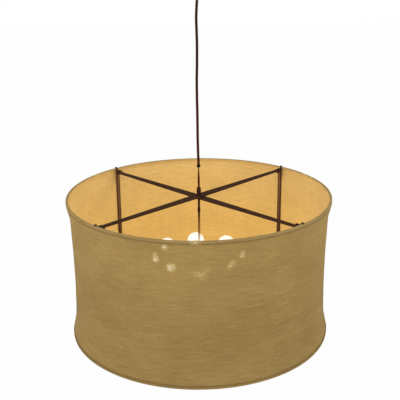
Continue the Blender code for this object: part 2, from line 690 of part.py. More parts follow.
def ferrule_and_tail(parent):
    """The bead that ends the cloth cover, and the bare tail that runs on into the hub."""
    rim = PIVOT_DEPTH - CEILING_TO_RIM
    half = FERRULE_LENGTH / 2
    radius = FERRULE_DIAMETER / 2
    neck = FERRULE_NECK_DIAMETER / 2
    profile = ((0, half), (neck, half), (radius, half / 3), (radius, -half / 3), (neck, -half), (0, -half))
    bead = turned("cord_ferrule", profile, LAMP_SIDES)
    place(bead, parent, RUBBER, (0, 0, rim + FERRULE_RISE))

    top = FERRULE_BOTTOM - FIT_GAP
    foot = COLLAR_TOP - TAIL_IN_COLLAR
    shares = [i / (TAIL_POINTS - 1) for i in range(TAIL_POINTS)]
    points = [Vector((0, 0, rim + top + (foot - top) * share)) for share in shares]
    swells = [min(share / TAIL_SWELL_SHARE, 1) for share in shares]
    gain = TAIL_FOOT_DIAMETER - TAIL_TOP_DIAMETER
    diameters = [TAIL_TOP_DIAMETER + gain * swell * swell * (3 - 2 * swell) for swell in swells]
    tube("cord_tail", points, diameters, parent, CLOTH_CORD)


def crossbar():
    """The bar that is screwed to the ceiling box and takes the canopy's screws."""
    bm = bmesh.new()
    size = Matrix.Diagonal((CROSSBAR_LENGTH, CROSSBAR_WIDTH, CROSSBAR_THICKNESS, 1))
    lower = Matrix.Translation((0, 0, -CROSSBAR_THICKNESS / 2))
    bmesh.ops.create_cube(bm, size=1, matrix=lower @ size)
    bar = mesh_object("mounting_crossbar", bm, PARTS)
    for side in (-1, 1):
        drill(bar, SCREW_HOLE_DIAMETER / 2, side * CANOPY_SCREW_SPACING / 2, 0, -CROSSBAR_THICKNESS, 0)
        drill(bar, CEILING_HOLE_DIAMETER / 2, side * CEILING_SCREW_SPACING / 2, 0, -CROSSBAR_THICKNESS, 0)
    bar = settle(bar)
    place(bar, None, ZINC)


def canopy():
    radius = CANOPY_DIAMETER / 2
    fall = CANOPY_DEPTH - CANOPY_SKIRT
    hole = GRIP_NECK_DIAMETER / 2 + FIT_GAP

    def shoulder(inset, start, end):
        """The rounded edge between the skirt and the flat face, drawn in by the wall."""
        return [
            (radius - CANOPY_SHOULDER + (CANOPY_SHOULDER - inset) * across,
             -CANOPY_SKIRT + (fall - inset) * down)
            for across, down in arc((0, 0), 1, start, end, SHOULDER_STEPS)
        ]

    profile = [(radius, -FIT_GAP)]
    profile += shoulder(0, 0, -math.pi / 2)
    profile += [(hole, -CANOPY_DEPTH), (hole, CANOPY_WALL - CANOPY_DEPTH)]
    profile += shoulder(CANOPY_WALL, -math.pi / 2, 0)
    profile += [(radius - CANOPY_WALL, -FIT_GAP)]
    shell = turned("canopy", profile, CANOPY_STEPS)
    for side in (-1, 1):
        drill(shell, SCREW_HOLE_DIAMETER / 2, side * CANOPY_SCREW_SPACING / 2, 0,
              -CANOPY_DEPTH, CANOPY_WALL - CANOPY_DEPTH)
    place(settle(shell), None, BRONZE)


def canopy_screws():
    """Screws that hang head down, from the canopy's face up through the crossbar."""
    profile = screw_profile(SCREW_DIAMETER, SCREW_HEAD_DIAMETER, SCREW_HEAD_HEIGHT,
                            CANOPY_DEPTH + FIT_GAP, CROSSBAR_THICKNESS / 4)
    for side, name in ((-1, "canopy_screw_left"), (1, "canopy_screw_right")):
        screw = turned(name, profile, SCREW_SIDES)
        place(screw, None, BRONZE, (side * CANOPY_SCREW_SPACING / 2, 0, 0), (math.pi, 0, 0))


def cord_grip():
    """The turned fitting under the canopy, with a cup for the bushing, and its nut."""
    top = -CANOPY_DEPTH - FIT_GAP
    neck_top = GRIP_NECK_RISE - CANOPY_DEPTH
    radius = GRIP_DIAMETER / 2
    neck = GRIP_NECK_DIAMETER / 2
    cup = (BUSHING_DIAMETER / 2 + BUSHING_GAP) / math.cos(math.pi / GRIP_SIDES)
    lip_angle = -math.asin(GRIP_LIP / cup)
    profile = [(0, neck_top), (neck, neck_top), (neck, top), (radius - GRIP_SHOULDER, top),
               (radius, top - GRIP_SHOULDER), (radius, -PIVOT_DEPTH - GRIP_LIP)]
    profile += arc((0, -PIVOT_DEPTH), cup, lip_angle, math.pi / 2, BUSHING_STEPS)[:-1]
    profile += [(0, cup - PIVOT_DEPTH)]
    place(turned("cord_grip", profile, GRIP_SIDES), None, BRONZE)

    nut_bottom = CANOPY_WALL + FIT_GAP - CANOPY_DEPTH
    nut = hexagon_nut("grip_nut", GRIP_NUT_ACROSS, GRIP_NECK_DIAMETER + 2 * FIT_GAP,
                      nut_bottom, nut_bottom + GRIP_NUT_HEIGHT)
    place(nut, None, ZINC)


def cord_bushing(parent):
    radius = BUSHING_DIAMETER / 2
    profile = [(0, radius)]
    profile += arc((0, 0), radius, math.pi / 2, -math.pi / 2, BUSHING_STEPS)[1:-1]
    profile += [(0, -radius)]
    place(turned("cord_bushing", profile, GRIP_SIDES), parent, RUBBER)


def build():
    bushing_pivot = new_empty("bushing_pivot", None, PIVOT_DEPTH)
    cord_pivot = new_empty("cord_pivot", bushing_pivot, 0)
    drum_pivot = new_empty("drum_pivot", cord_pivot, CEILING_TO_RIM - PIVOT_DEPTH)

    crossbar()
    canopy()
    canopy_screws()
    cord_grip()
    cord_bushing(bushing_pivot)
    pendant_cord(cord_pivot)
    ferrule_and_tail(cord_pivot)

    hub(drum_pivot)
    cross_strap("cross_strap_upper", UPRIGHT_OUTER, UPPER_STRAP_TOP, CORNERS["back_right"], drum_pivot)
    cross_strap("cross_strap_lower", UPRIGHT_RADIUS - BEND_RADIUS, LOWER_STRAP_TOP,
                CORNERS["back_left"], drum_pivot)
    for corner in CORNERS:
        upright(corner, drum_pivot)
        rim_clip(corner, drum_pivot)
        corner_fasteners(corner, drum_pivot)

    wire_ring("top_ring", -HEM_SEAT - RING_WIRE / 2, drum_pivot)
    wire_ring("bottom_ring", HEM_SEAT + RING_WIRE / 2 - SHADE_HEIGHT, drum_pivot)
    shade_fabric(drum_pivot)
    hem("top_hem", drum_pivot, LINEN_HEM)
    bottom_hem(drum_pivot)

    stem(drum_pivot)
    cluster(drum_pivot)
    for number, azimuth in enumerate(lamp_azimuths(), 1):
        lamp_holder(number, azimuth, drum_pivot)
        lamp(number, azimuth, drum_pivot)


build()
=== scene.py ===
"""The looks of the drum chandelier: a linen drum pulled in between its hems, a braided
cord, eight lit globes and a bronze frame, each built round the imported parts.

Metres, +Z up, in the frame of the CAD model: the origin is on the ceiling face."""

import json
import math

import bmesh
import bpy
import numpy as np
from mathutils import Matrix, Vector

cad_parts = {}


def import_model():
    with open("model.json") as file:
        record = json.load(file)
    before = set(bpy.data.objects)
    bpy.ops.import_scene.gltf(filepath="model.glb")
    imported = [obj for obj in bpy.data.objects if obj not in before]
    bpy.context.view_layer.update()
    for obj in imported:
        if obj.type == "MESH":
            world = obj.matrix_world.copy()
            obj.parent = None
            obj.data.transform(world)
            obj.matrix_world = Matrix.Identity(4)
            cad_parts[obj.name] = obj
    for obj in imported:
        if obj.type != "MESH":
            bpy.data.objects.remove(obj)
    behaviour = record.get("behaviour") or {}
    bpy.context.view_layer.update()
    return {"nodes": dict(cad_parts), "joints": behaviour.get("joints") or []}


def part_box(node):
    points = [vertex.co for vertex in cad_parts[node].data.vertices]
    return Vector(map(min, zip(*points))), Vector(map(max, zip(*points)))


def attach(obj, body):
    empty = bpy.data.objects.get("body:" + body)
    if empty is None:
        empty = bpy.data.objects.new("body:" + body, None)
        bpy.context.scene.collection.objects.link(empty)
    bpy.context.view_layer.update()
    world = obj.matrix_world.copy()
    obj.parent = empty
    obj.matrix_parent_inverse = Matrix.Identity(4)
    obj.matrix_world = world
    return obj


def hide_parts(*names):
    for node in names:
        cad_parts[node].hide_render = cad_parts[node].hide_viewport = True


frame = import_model()
JOINTS = {joint["name"]: joint for joint in frame["joints"]}

# Camera, fitted to the photograph of 400 by 400 pixels
IMAGE_SIDE = 400
FOCAL_PIXELS = 769.3
SENSOR_WIDTH = 36.0
CAMERA_SPOT = (0.0032, -2.116, 0.0865)
CAMERA_DIP = math.radians(18.50)
CAMERA_ROLL = math.radians(-0.52)

# Drum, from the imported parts
RIM_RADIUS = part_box("top_hem")[1].x
RIM_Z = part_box("top_hem")[1].z
HEM_HEIGHT = RIM_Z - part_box("top_hem")[0].z
BASE_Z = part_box("bottom_hem")[0].z
SHADE_HEIGHT = RIM_Z - BASE_Z
CORNER_TURN = math.radians(45)
CORNER_COUNT = 4
CORNERS = ("back_right", "back_left", "front_left", "front_right")

# Linen wall
FABRIC_WALL = 0.0012
HEM_SEAT = 0.0015
WALL_TOP_DROP = 0.0027
WAIST_PULL_IN = 0.0141
HELD_AT_UPRIGHT = 0.0087
RIDGE_SHARE = 0.30
RIDGE_HALF_WIDTH = math.radians(1.47)
RIDGE_FADE = math.radians(0.3)
PUCKER_DEPTH = 0.00035
PUCKER_WAVES = 14
PUCKER_TURNS = (9, 70)
PUCKER_RISES = (0.5, 4.0)
PUCKER_CLEARANCE = math.radians(3)
WALL_COLUMNS = 480
WALL_ROWS = 92
CORNER_COLUMNS = 12
CORNER_SPREAD = math.radians(2.6)
LEAST_COLUMN_STEP = math.radians(0.12)
PULL_IN_SHARES = (
    (0.04, 0.11), (0.11, 0.65), (0.23, 0.79), (0.37, 0.96), (0.51, 1.0),
    (0.64, 0.98), (0.78, 0.87), (0.87, 0.72), (0.94, 0.24), (0.97, 0.11),
)
PULL_IN_BLUR_SHARE = 0.025

# Hems
HEM_WALL = 0.0012
HEM_STEPS = 288
HEM_ROUND = 0.0034
HEM_ROUND_STEPS = 6
HEM_LIP_DEPTH = 0.0042
HEM_DEPTH_IN = 0.0075
HEM_WOBBLE = 0.00025
HEM_WOBBLE_OUT = 0.4
HEM_WOBBLE_TURNS = (17, 29, 43, 71)
HEM_INSET = 0.0001
STITCH_PITCH = 0.0034
STITCH_LENGTH = 0.0023
STITCH_THICKNESS = 0.00045
STITCH_FROM_EDGE = 0.0022
STITCH_END_SHARE = 0.08

# Cord
CORD_DIAMETER = 0.0075
CORD_SPACING = 0.0006
CORD_SIDES = 30
BRAID_STRANDS = 6
BRAID_RELIEF = 0.00016
BEAD_NECK_SHARE = 0.68
BEAD_SHOULDER_SHARE = 0.45
BEAD_GROOVE_SHARE = 0.93
BEAD_CRIMP_SHARE = 0.12
TAIL_TOP_DIAMETER = 0.0032
TAIL_FOOT_DIAMETER = 0.0064
TAIL_SWELL_SHARE = 0.55
TAIL_CLEARANCE = 0.0003
TAIL_RELIEF_SHARE = 0.06
TAIL_TWIST = 260
TAIL_SIDES = 16
TAIL_RINGS = 48
# Route of the cord from the bushing down to the bead: x, y and z from the ceiling face
CORD_ROUTE = (
    (0.0, 0.0, -0.0583), (-0.0011, 0.0, -0.0730), (-0.0026, 0.0002, -0.1050),
    (-0.0020, 0.0006, -0.1370), (-0.0012, 0.0008, -0.1700), (-0.0014, 0.0005, -0.2020),
    (-0.0018, 0.0, -0.2350), (-0.0027, -0.0004, -0.2680), (-0.0028, -0.0006, -0.3020),
    (-0.0025, -0.0004, -0.3350), (-0.0020, 0.0, -0.3680), (-0.0019, 0.0003, -0.4020),
    (-0.0018, 0.0004, -0.4360), (-0.0012, 0.0002, -0.4700), (-0.0004, 0.0, -0.4980),
    (0.0, 0.0, -0.51395),
)

# Where lamp light shows through the weave: degrees from the front, share of the drum's
# height below the rim, half size in metres, brightness
GLINTS = (
    (-12.9, 0.048, 0.012, 0.40), (-16.9, 0.106, 0.012, 0.27), (-16.8, 0.138, 0.013, 0.32),
    (-10.9, 0.180, 0.018, 0.34), (-0.9, 0.222, 0.018, 0.13), (1.3, 0.236, 0.017, 0.12),
    (2.5, 0.199, 0.016, 0.11), (11.7, 0.179, 0.013, 0.13), (13.0, 0.160, 0.013, 0.20),
    (16.7, 0.118, 0.012, 0.22), (16.7, 0.090, 0.011, 0.13),
)
RIM_GLARE = ((-1.6, 0.004, 0.022, 0.24),)
GLINT_TURNS = (0.0, 120.0, 240.0)

# Heights below the rim at which lamp light begins to tint the stem, warms it and washes it out
LAMPLIT_FROM = 0.050
LAMPLIT_WARM = 0.110
LAMPLIT_FULL = 0.158

# Distance out from the holder's mouth over which the glass comes to its full brightness
NECK_GLOW_FROM = 0.006
NECK_GLOW_FULL = 0.013

# Hub
STEM_BORE = 0.0035
COLLAR_TOP_SHARE = 0.86
COLLAR_LIP = 0.0012
COLLAR_SEAT_DEPTH = 0.008
COLLAR_STEM_DEPTH = 0.0103
COLLAR_GROOVE_DROP = 0.005
COLLAR_GROOVE_WIDTH = 0.0017
COLLAR_GROOVE_SHARE = 0.94
COLLAR_BEVEL = 0.0005
COLLAR_FOOT = 0.003
COLLAR_FOOT_SHARE = 0.95
COUPLING_BAND = 0.002
COUPLING_BEVEL = 0.0003
COUPLING_GROOVE_SHARE = 0.93

# Cluster
CLUSTER_STEM_DEPTH = 0.010
CLUSTER_EDGE_IN = 0.004
CLUSTER_EDGE_DOWN = 0.003
CLUSTER_LINE_HALF = 0.001
CLUSTER_LINE_DEPTH = 0.0008
CLUSTER_ROUND = 0.0012
CAP_ROUND = 0.0015
CAP_SHARES = ((0.42, 0), (0.55, 0.22), (0.82, 0.45), (1, 0.68))
FINIAL_STUD = 0.003
FINIAL_STUD_LENGTH = 0.006
FINIAL_STUD_GAP = 0.0003
FINIAL_FLANGE = 0.0012
FINIAL_NECK = ((0.7, 0.0030), (0.62, 0.0042))
FINIAL_BALL_FROM = math.radians(48)

# Lamp holders
HOLDER_LENGTH = 0.044
HOLDER_BORE = 0.0065
HOLDER_BORE_DEPTH = 0.022
HOLDER_LIP_IN = 0.002
HOLDER_LIP_DOWN = 0.0016
HOLDER_RING = 0.006
HOLDER_BODY_SHARE = 0.93
HOLDER_RIDGE_SHARE = 0.97
HOLDER_RIDGES = 5
HOLDER_RIDGE_FROM = 0.0095
HOLDER_RIDGE_PITCH = 0.0042
HOLDER_RIDGE_WIDTH = 0.0014
HOLDER_BEVEL = 0.0008
HOLDER_TAPER = 0.0075
HOLDER_BACK_SHARE = 0.7
ARM_RADIUS = 0.0045
ARM_GAP = 0.0002
ARM_FLANGE = 0.002
ARM_FLANGE_SHARE = 1.35
ARM_BEVEL = 0.0006

# Lamps
GLOBE_NECK = 0.0095
GLOBE_NECK_SHARES = (0.9, 0.72)
GLOBE_NECK_RISE = 0.0016
GLOBE_SEAT = 0.0006
GLOBE_ROUND = 0.0006
BASE_GAP = 0.0002
BASE_RADIUS = 0.006
BASE_LENGTH = 0.0158
THREAD_ROOT = 0.0054
THREAD_TURNS = 5
THREAD_FROM = 0.0016
THREAD_PITCH = 0.0028
THREAD_HALF_RISE = 0.0007
CONTACT_RADII = (0.003, 0.0028)
CONTACT_RISE = 0.0012

# Ceiling fitting
CANOPY_HOLE = 0.0053
CANOPY_WALL = 0.0012
CANOPY_FALL = 0.020
CANOPY_SHOULDER = 0.014
CANOPY_LIP = 0.004
CANOPY_GROOVE_DEPTH = 0.0008
CANOPY_GROOVE_RISES = (0.003, 0.0022, 0.0014)
GRIP_NECK = 0.005
GRIP_GAP = 0.0003
GRIP_EDGE = 0.004
GRIP_GROOVE_DROP = 0.009
GRIP_GROOVE_WIDTH = 0.0028
GRIP_GROOVE_SHARE = 0.92
GRIP_BEVEL = 0.0006
GRIP_CUP = 0.0068
GRIP_LIP = 0.003

# Screws, nuts and eased edges
SCREW_HEAD = 0.0014
SCREW_SHANK = 0.002
SCREW_TIP = 0.0012
SCREW_ROUND = 0.00015
SCREW_CROWN = ((0.55, 0.0001), (0.93, 0.000588), (1, 0.00105))
SCREW_CROWN_ROUND = 0.0005
CANOPY_SCREW_TURN = 0.4
CORNER_SCREW_TURN = 0.3
RECESS_WIDTH = 0.0009
RECESS_HEIGHT = 0.0016
RECESS_SHARE = 1.1
NUT_BORE = 0.0023
NUT_ROUND = 0.0002
NUT_FLAT_SHARE = 0.97
NUT_CHAMFER_SHARE = 0.14
STRAP_EDGE = 0.0006
CLIP_EDGE = 0.0004
CROSSBAR_EDGE = 0.0003

# Rounding of small turned edges, the share of a side that any rounding may take, and
# distances under which two points are one
FINE_ROUND = 0.0003
ROUND_LIMIT = 0.45
SAME_SPOT = 0.000001
SAME_CAD_SPOT = 0.00001

# Stage: lamps as name, place, side and watts
FLOOR_Z = -4.0
FLOOR_SIZE = 80.0
FLOOR_WHITE = 0.97
FLOOR_SHOWN = 0.95
SKY_LIGHT = 0.78
SOFT_LAMPS = (
    ("key", (-2.6, -3.2, 1.6), 3.0, 61), ("fill", (3.0, -1.5, 0.8), 2.5, 14),
    ("top", (2.6, 0.2, 1.6), 1.8, 17),
)

# Threads of the cloth: features a metre across and up, detail and roughness
SLUBS = (22, 420, 2.4, 0.55)
WEFT = (34, 800, 2.0, 0.55)
WARP = (780, 22, 2.0)


def srgb(red, green, blue):
    """A colour in 8-bit display values, as the linear colour that a shader takes."""
    def linear(value):
        share = value / 255
        return share / 12.92 if share <= 0.04045 else ((share + 0.055) / 1.055) ** 2.4
    return (linear(red), linear(green), linear(blue), 1.0)


BLACK = (0.0, 0.0, 0.0, 1.0)


class Finish:
    """A procedural material, its nodes added one call at a time."""

    def __init__(self, name, **constants):
        self.material = bpy.data.materials.new(name)
        self.material.use_nodes = True
        self.tree = self.material.node_tree
        self.shader = self.tree.nodes["Principled BSDF"]
        self.place = self.node("ShaderNodeTexCoord").outputs["Object"]
        for socket, value in constants.items():
            title = socket.replace("_", " ").title().replace("Ior", "IOR")
            self.shader.inputs[title].default_value = value

    def node(self, kind, **settings):
        made = self.tree.nodes.new(kind)
        for key, value in settings.items():
            setattr(made, key, value)
        return made

    def feed(self, socket, value):
        if isinstance(value, bpy.types.NodeSocket):
            self.tree.links.new(value, socket)
        else:
            socket.default_value = value

    def set(self, socket, value):
        self.feed(self.shader.inputs[socket], value)

    def maths(self, operation, first, second=0.0):
        made = self.node("ShaderNodeMath", operation=operation)
        self.feed(made.inputs[0], first)
        self.feed(made.inputs[1], second)
        return made.outputs[0]

    def times(self, first, second):
        return self.maths("MULTIPLY", first, second)

    def vector(self, operation, first, second=(0, 0, 0)):
        made = self.node("ShaderNodeVectorMath", operation=operation)
        self.feed(made.inputs[0], first)
        made.inputs[1].default_value = second
        return made

    def stretched(self, across, up):
        """The place on the piece, scaled unlike across and up, for threads and streaks."""
        return self.vector("MULTIPLY", self.place, (across, across, up)).outputs[0]

    def noise(self, across, up=None, detail=2.0, roughness=0.5):
        """Cloudy noise with this many features a metre across and up."""
        made = self.node("ShaderNodeTexNoise")
        made.inputs["Scale"].default_value = 1.0
        made.inputs["Detail"].default_value = detail
        made.inputs["Roughness"].default_value = roughness
        self.feed(made.inputs["Vector"], self.stretched(across, across if up is None else up))
        return made.outputs[0]

    def level(self, value, low, high, to_low=0.0, to_high=1.0):
        """A value's range from low to high, stretched to another range and held there."""
        made = self.node("ShaderNodeMapRange", interpolation_type="SMOOTHSTEP")
        self.feed(made.inputs["Value"], value)
        for socket, number in (("From Min", low), ("From Max", high),
                               ("To Min", to_low), ("To Max", to_high)):
            made.inputs[socket].default_value = number
        return made.outputs[0]

    def blend(self, share, first, second):
        made = self.node("ShaderNodeMix", data_type="RGBA")
        self.feed(made.inputs[0], share)
        self.feed(made.inputs[6], first)
        self.feed(made.inputs[7], second)
        return made.outputs[2]

    def part(self, axis):
        """One coordinate of the place: X, Y or Z."""
        made = self.node("ShaderNodeSeparateXYZ")
        self.feed(made.inputs[0], self.place)
        return made.outputs[axis]

    def bump(self, height, strength, distance):
        made = self.node("ShaderNodeBump")
        made.inputs["Strength"].default_value = strength
        made.inputs["Distance"].default_value = distance
        self.feed(made.inputs["Height"], height)
        self.set("Normal", made.outputs[0])


def lamp_light(finish, spots):
    """Soft spots of lamp light round the drum, adding up where they overlap."""
    total = 0.0
    for turn in GLINT_TURNS:
        for azimuth, share, size, bright in spots:
            angle = math.radians(azimuth + turn - 90)
            out = RIM_RADIUS - WAIST_PULL_IN * np.interp(share, *zip(*PULL_IN_SHARES))
            away = finish.vector("DISTANCE", finish.place, (
                out * math.cos(angle), out * math.sin(angle), RIM_Z - share * SHADE_HEIGHT))
            spot = finish.level(away.outputs["Value"], size, 0.0, 0.0, bright)
            total = finish.maths("ADD", total, spot)
    return total


def linen(name, top, foot, slub, cloud, spots=(), hem_edge_shade=False, lit=0.0):
    """Unbleached linen whose colour goes from top to foot down the drum as painted light and shade,
    with painted spots of lamp light, a painted shadow towards a hem's cut edge or an even painted
    glow of its own where the lamps shine on it."""
    finish = Finish(name, roughness=0.95, specular_ior_level=0.04, sheen_weight=0.02,
                    sheen_roughness=0.6)
    slubs = finish.noise(*SLUBS)
    weft = finish.noise(*WEFT)
    warp = finish.noise(*WARP)
    # Painted light: the colour moves from top to foot with the light that falls at each height.
    painted_light_fall = finish.level(finish.part("Z"), RIM_Z, BASE_Z + SHADE_HEIGHT / 3)
    colour = finish.blend(painted_light_fall, top, foot)
    clouds = finish.level(finish.noise(9, 14, 3.0), 0.3, 0.7)
    colour = finish.blend(finish.times(clouds, cloud), colour, srgb(92, 66, 28))
    dark = finish.level(slubs, 0.46, 0.30)
    light = finish.level(slubs, 0.56, 0.76)
    colour = finish.blend(finish.times(dark, slub), colour, srgb(84, 60, 26))
    colour = finish.blend(finish.times(light, slub), colour, srgb(226, 198, 140))
    if hem_edge_shade:
        # Painted shade: the hem darkens over the half nearer its cut edge, a shadow line along that
        # edge.
        drop = finish.maths("SUBTRACT", SHADE_HEIGHT / 2, finish.maths("ABSOLUTE", finish.maths(
            "SUBTRACT", finish.part("Z"), (RIM_Z + BASE_Z) / 2)))
        painted_shade = finish.level(drop, HEM_HEIGHT * 0.42, HEM_HEIGHT * 0.8, 0.0, 0.36)
        colour = finish.blend(painted_shade, colour, srgb(96, 70, 32))
    threads = finish.maths("ADD", weft, finish.times(warp, 0.5))
    grain = finish.level(threads, 0.6, 0.9, 0.92, 1.07)
    shade = finish.vector("SCALE", colour)
    finish.feed(shade.inputs["Scale"], grain)
    finish.set("Base Color", shade.outputs[0])
    relief = finish.maths("ADD", threads, finish.times(slubs, 1.4))
    finish.bump(relief, 0.55, 0.0006)
    if spots:
        speckle = finish.level(finish.noise(230, 330, 1.0), 0.38, 0.62, 0.30, 1.45)
        bright = finish.times(lamp_light(finish, spots), speckle)
        whiteness = finish.level(bright, 0.04, 0.22)
        finish.set("Emission Color",
                   finish.blend(whiteness, srgb(255, 216, 110), srgb(246, 244, 214)))
        finish.set("Emission Strength", bright)
    if lit:
        finish.set("Emission Color", shade.outputs[0])
        finish.set("Emission Strength", lit)
    return finish.material


def painted_metal(name, colour, worn, roughness, sheen, highlight_stripe=False, lamplit=False):
    """Thin bronze paint, worn lighter in random patches, with a painted highlight along the straps'
    middles that fades lower down, and washed with painted lamp light where it stands among the lamps."""
    finish = Finish(name, specular_ior_level=sheen)
    mottle = finish.noise(90, None, 4.0, 0.6)
    wear_and_highlight = finish.level(mottle, 0.55, 0.75, 0.0, 0.35)
    if highlight_stripe:
        # Painted highlight: a stripe of the worn colour down the middle of each upright stands in for
        # lamp light caught on its face.
        across = finish.maths("ABSOLUTE", finish.maths(
            "SUBTRACT", finish.maths("ABSOLUTE", finish.part("X")),
            finish.maths("ABSOLUTE", finish.part("Y"))))
        lighter_tone = finish.level(across, 0.0042, 0.0012)
        # The painted highlight is strongest just under the top hem and gone a third of the way up
        # from the foot.
        highlight_fade = finish.level(finish.part("Z"), BASE_Z + SHADE_HEIGHT / 3, RIM_Z - HEM_HEIGHT)
        lighter_tone = finish.times(lighter_tone, finish.times(highlight_fade, 0.5))
        wear_and_highlight = finish.maths("MAXIMUM", wear_and_highlight, lighter_tone)
    finish.set("Base Color", finish.blend(wear_and_highlight, colour, worn))
    finish.set("Roughness", finish.level(mottle, 0.3, 0.7, roughness - 0.08, roughness + 0.1))
    finish.bump(finish.noise(1400, None, 2.0), 0.15, 0.0002)
    if lamplit:
        height = finish.part("Z")
        warm = finish.level(height, RIM_Z - LAMPLIT_FROM, RIM_Z - LAMPLIT_WARM)
        wash = finish.level(height, RIM_Z - LAMPLIT_WARM, RIM_Z - LAMPLIT_FULL)
        glow = finish.blend(warm, BLACK, srgb(124, 84, 40))
        finish.set("Emission Color", finish.blend(wash, glow, srgb(240, 216, 172)))
        finish.set("Emission Strength", 1.0)
    return finish.material


def grained(name, grain, worn, colours, roughness, relief, **constants):
    """A skin whose one grain gives its worn tone from one colour to another, its roughness and
    its relief."""
    finish = Finish(name, **constants)
    noise = finish.noise(*grain)
    finish.set("Base Color", finish.blend(finish.level(noise, *worn), *colours))
    finish.set("Roughness", finish.level(noise, 0.3, 0.7, *roughness))
    finish.bump(noise, *relief)
    return finish.material


def plain_metal(name, colour, roughness):
    """Bare metal with fine brushing across it."""
    return grained(name, (150, 2600), (0.3, 0.7, 0.0, 0.3), (colour, srgb(120, 116, 108)),
                   (roughness, roughness + 0.2), (0.1, 0.0001), metallic=1.0)


def moulded(name, colour, lighter_tone, roughness, sheen):
    """Moulded plastic or rubber with a faint pebble, worn lighter here and there."""
    return grained(name, (1800,), (0.4, 0.8, 0.0, 0.4), (colour, lighter_tone),
                   (roughness - 0.05, roughness + 0.1), (0.2, 0.0001), specular_ior_level=sheen)


def opal_glass():
    """Lit opal glass, dimmer and warmer towards its neck, its crown and its underside."""
    finish = Finish("opal_glass_lit", roughness=0.12, coat_weight=0.2)
    out = finish.vector("LENGTH", finish.stretched(1.0, 0.0))
    mouth = math.hypot(*JOINTS["unscrew_1"]["pos_m"][:2])
    height = JOINTS["unscrew_1"]["pos_m"][2]
    globe = (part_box("bulb_1")[1].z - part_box("bulb_1")[0].z) / 2
    past_neck = finish.level(out.outputs["Value"], mouth + NECK_GLOW_FROM, mouth + NECK_GLOW_FULL)
    raised = finish.level(finish.part("Z"), height - globe, height - globe / 4, 0.55, 1.0)
    crown = finish.level(finish.part("Z"), height + globe * 0.70, height + globe, 1.0, 0.86)
    cloud = finish.level(finish.noise(60, None, 2.0), 0.3, 0.7, 0.88, 1.0)
    lit = finish.times(past_neck, finish.times(raised, crown))
    lit = finish.times(lit, cloud)
    finish.set("Base Color", finish.blend(cloud, srgb(96, 90, 82), srgb(104, 100, 92)))
    finish.set("Emission Color", finish.blend(lit, srgb(226, 184, 128), srgb(255, 253, 246)))
    finish.set("Emission Strength", 0.98)
    return finish.material


def braided_cloth():
    """Cotton braid, near black where it hangs high and redder lower down, the redder foot colour
    being painted warm lamp light.
    """
    finish = Finish("cord_braid", roughness=0.9, specular_ior_level=0.05, sheen_weight=0.02)
    # Painted light: the braid warms towards the lamps.
    painted_light_fall = finish.level(finish.part("Z"), -0.10, -0.50)
    colour = finish.blend(painted_light_fall, srgb(50, 30, 22), srgb(64, 28, 16))
    strands = finish.noise(1500, 900, 2.0)
    finish.set("Base Color", finish.blend(finish.level(strands, 0.45, 0.75, 0.0, 0.5), colour,
                                          srgb(96, 50, 34)))
    finish.bump(strands, 0.4, 0.0003)
    return finish.material


def tail_skin():
    """The bare red-brown tail."""
    return grained("cord_tail_skin", (900, 60), (0.35, 0.7), (srgb(104, 40, 30), srgb(72, 27, 20)),
                   (0.75, 0.9), (0.2, 0.0002), specular_ior_level=0.02)


LINEN_OUTSIDE = linen("linen_outside", srgb(170, 141, 85), srgb(158, 130, 78), 0.19, 0.16,
                      GLINTS)
# Inside of the same linen: its warmer, brighter colours and even glow are painted lamp light.
LINEN_INSIDE_LAMPLIT = linen("linen_inside", srgb(221, 183, 112), srgb(235, 193, 109), 0.12, 0.08,
                     lit=0.12)
LINEN_HEM = linen("linen_hem_fold", srgb(160, 135, 85), srgb(150, 124, 75), 0.22, 0.12,
                  RIM_GLARE, hem_edge_shade=True)
THREAD = linen("hem_thread", srgb(142, 116, 68), srgb(136, 110, 62), 0.2, 0.1)
DULL_PAINT = (srgb(60, 39, 26), srgb(96, 66, 46), 0.75, 0.02)
BRONZE = painted_metal("bronze_paint", *DULL_PAINT)
BRONZE_SATIN = painted_metal("bronze_paint_satin", srgb(38, 27, 20), srgb(70, 50, 36), 0.45, 0.12)
BRONZE_LAMPLIT = painted_metal("bronze_paint_lamplit", *DULL_PAINT, lamplit=True)
# Uprights: paint worn lighter in patches, with a painted highlight stripe in the worn colour.
BRONZE_PAINTED_HIGHLIGHT = painted_metal("bronze_paint_rubbed", srgb(84, 50, 28), srgb(190, 146, 102), 0.7,
                              0.05, highlight_stripe=True)
ZINC = plain_metal("zinc_plate", srgb(196, 196, 190), 0.32)
RING_METAL = plain_metal("ring_wire", srgb(150, 146, 138), 0.4)
LAMP_METAL = plain_metal("lamp_base_nickel", srgb(206, 200, 186), 0.25)
HOLDER = moulded("holder_shell", srgb(30, 24, 20), srgb(58, 50, 44), 0.45, 0.35)
RUBBER = moulded("cord_rubber", srgb(22, 12, 9), srgb(44, 28, 20), 0.6, 0.10)
OPAL = opal_glass()
BRAID = braided_cloth()
TAIL = tail_skin()


def full_turn(steps):
    return np.arange(steps) * 2 * math.pi / steps


def round_axis(radii, angles, heights):
    """Points round the upright axis, in one ring or in a stack of rings."""
    across = radii * np.cos(angles)
    return np.stack([across, radii * np.sin(angles),
                     np.broadcast_to(heights, across.shape)], axis=-1)


def arc(centre, across, up, start, end, count):
    """Outline points along part of an ellipse round a centre."""
    return [(centre[0] + across * math.cos(angle), centre[1] + up * math.sin(angle))
            for angle in np.linspace(start, end, count)]


def groove(radius, level, width, bevel, floor_share):
    """A groove's points on the way down a turned outline, its upper edge at level."""
    floor = radius * floor_share
    return ((radius, level), (floor, level - bevel),
            (floor, level - width + bevel), (radius, level - width))


def added(name, data):
    obj = bpy.data.objects.new(name, data)
    bpy.context.scene.collection.objects.link(obj)
    return obj


def faced_out(mesh, weld):
    """Turn a closed mesh's faces outward, with points that meet welded if asked."""
    bm = bmesh.new()
    bm.from_mesh(mesh)
    if weld:
        bmesh.ops.remove_doubles(bm, verts=bm.verts, dist=SAME_SPOT)
    bmesh.ops.recalc_face_normals(bm, faces=bm.faces)
    bm.to_mesh(mesh)
    bm.free()
    mesh.shade_smooth()


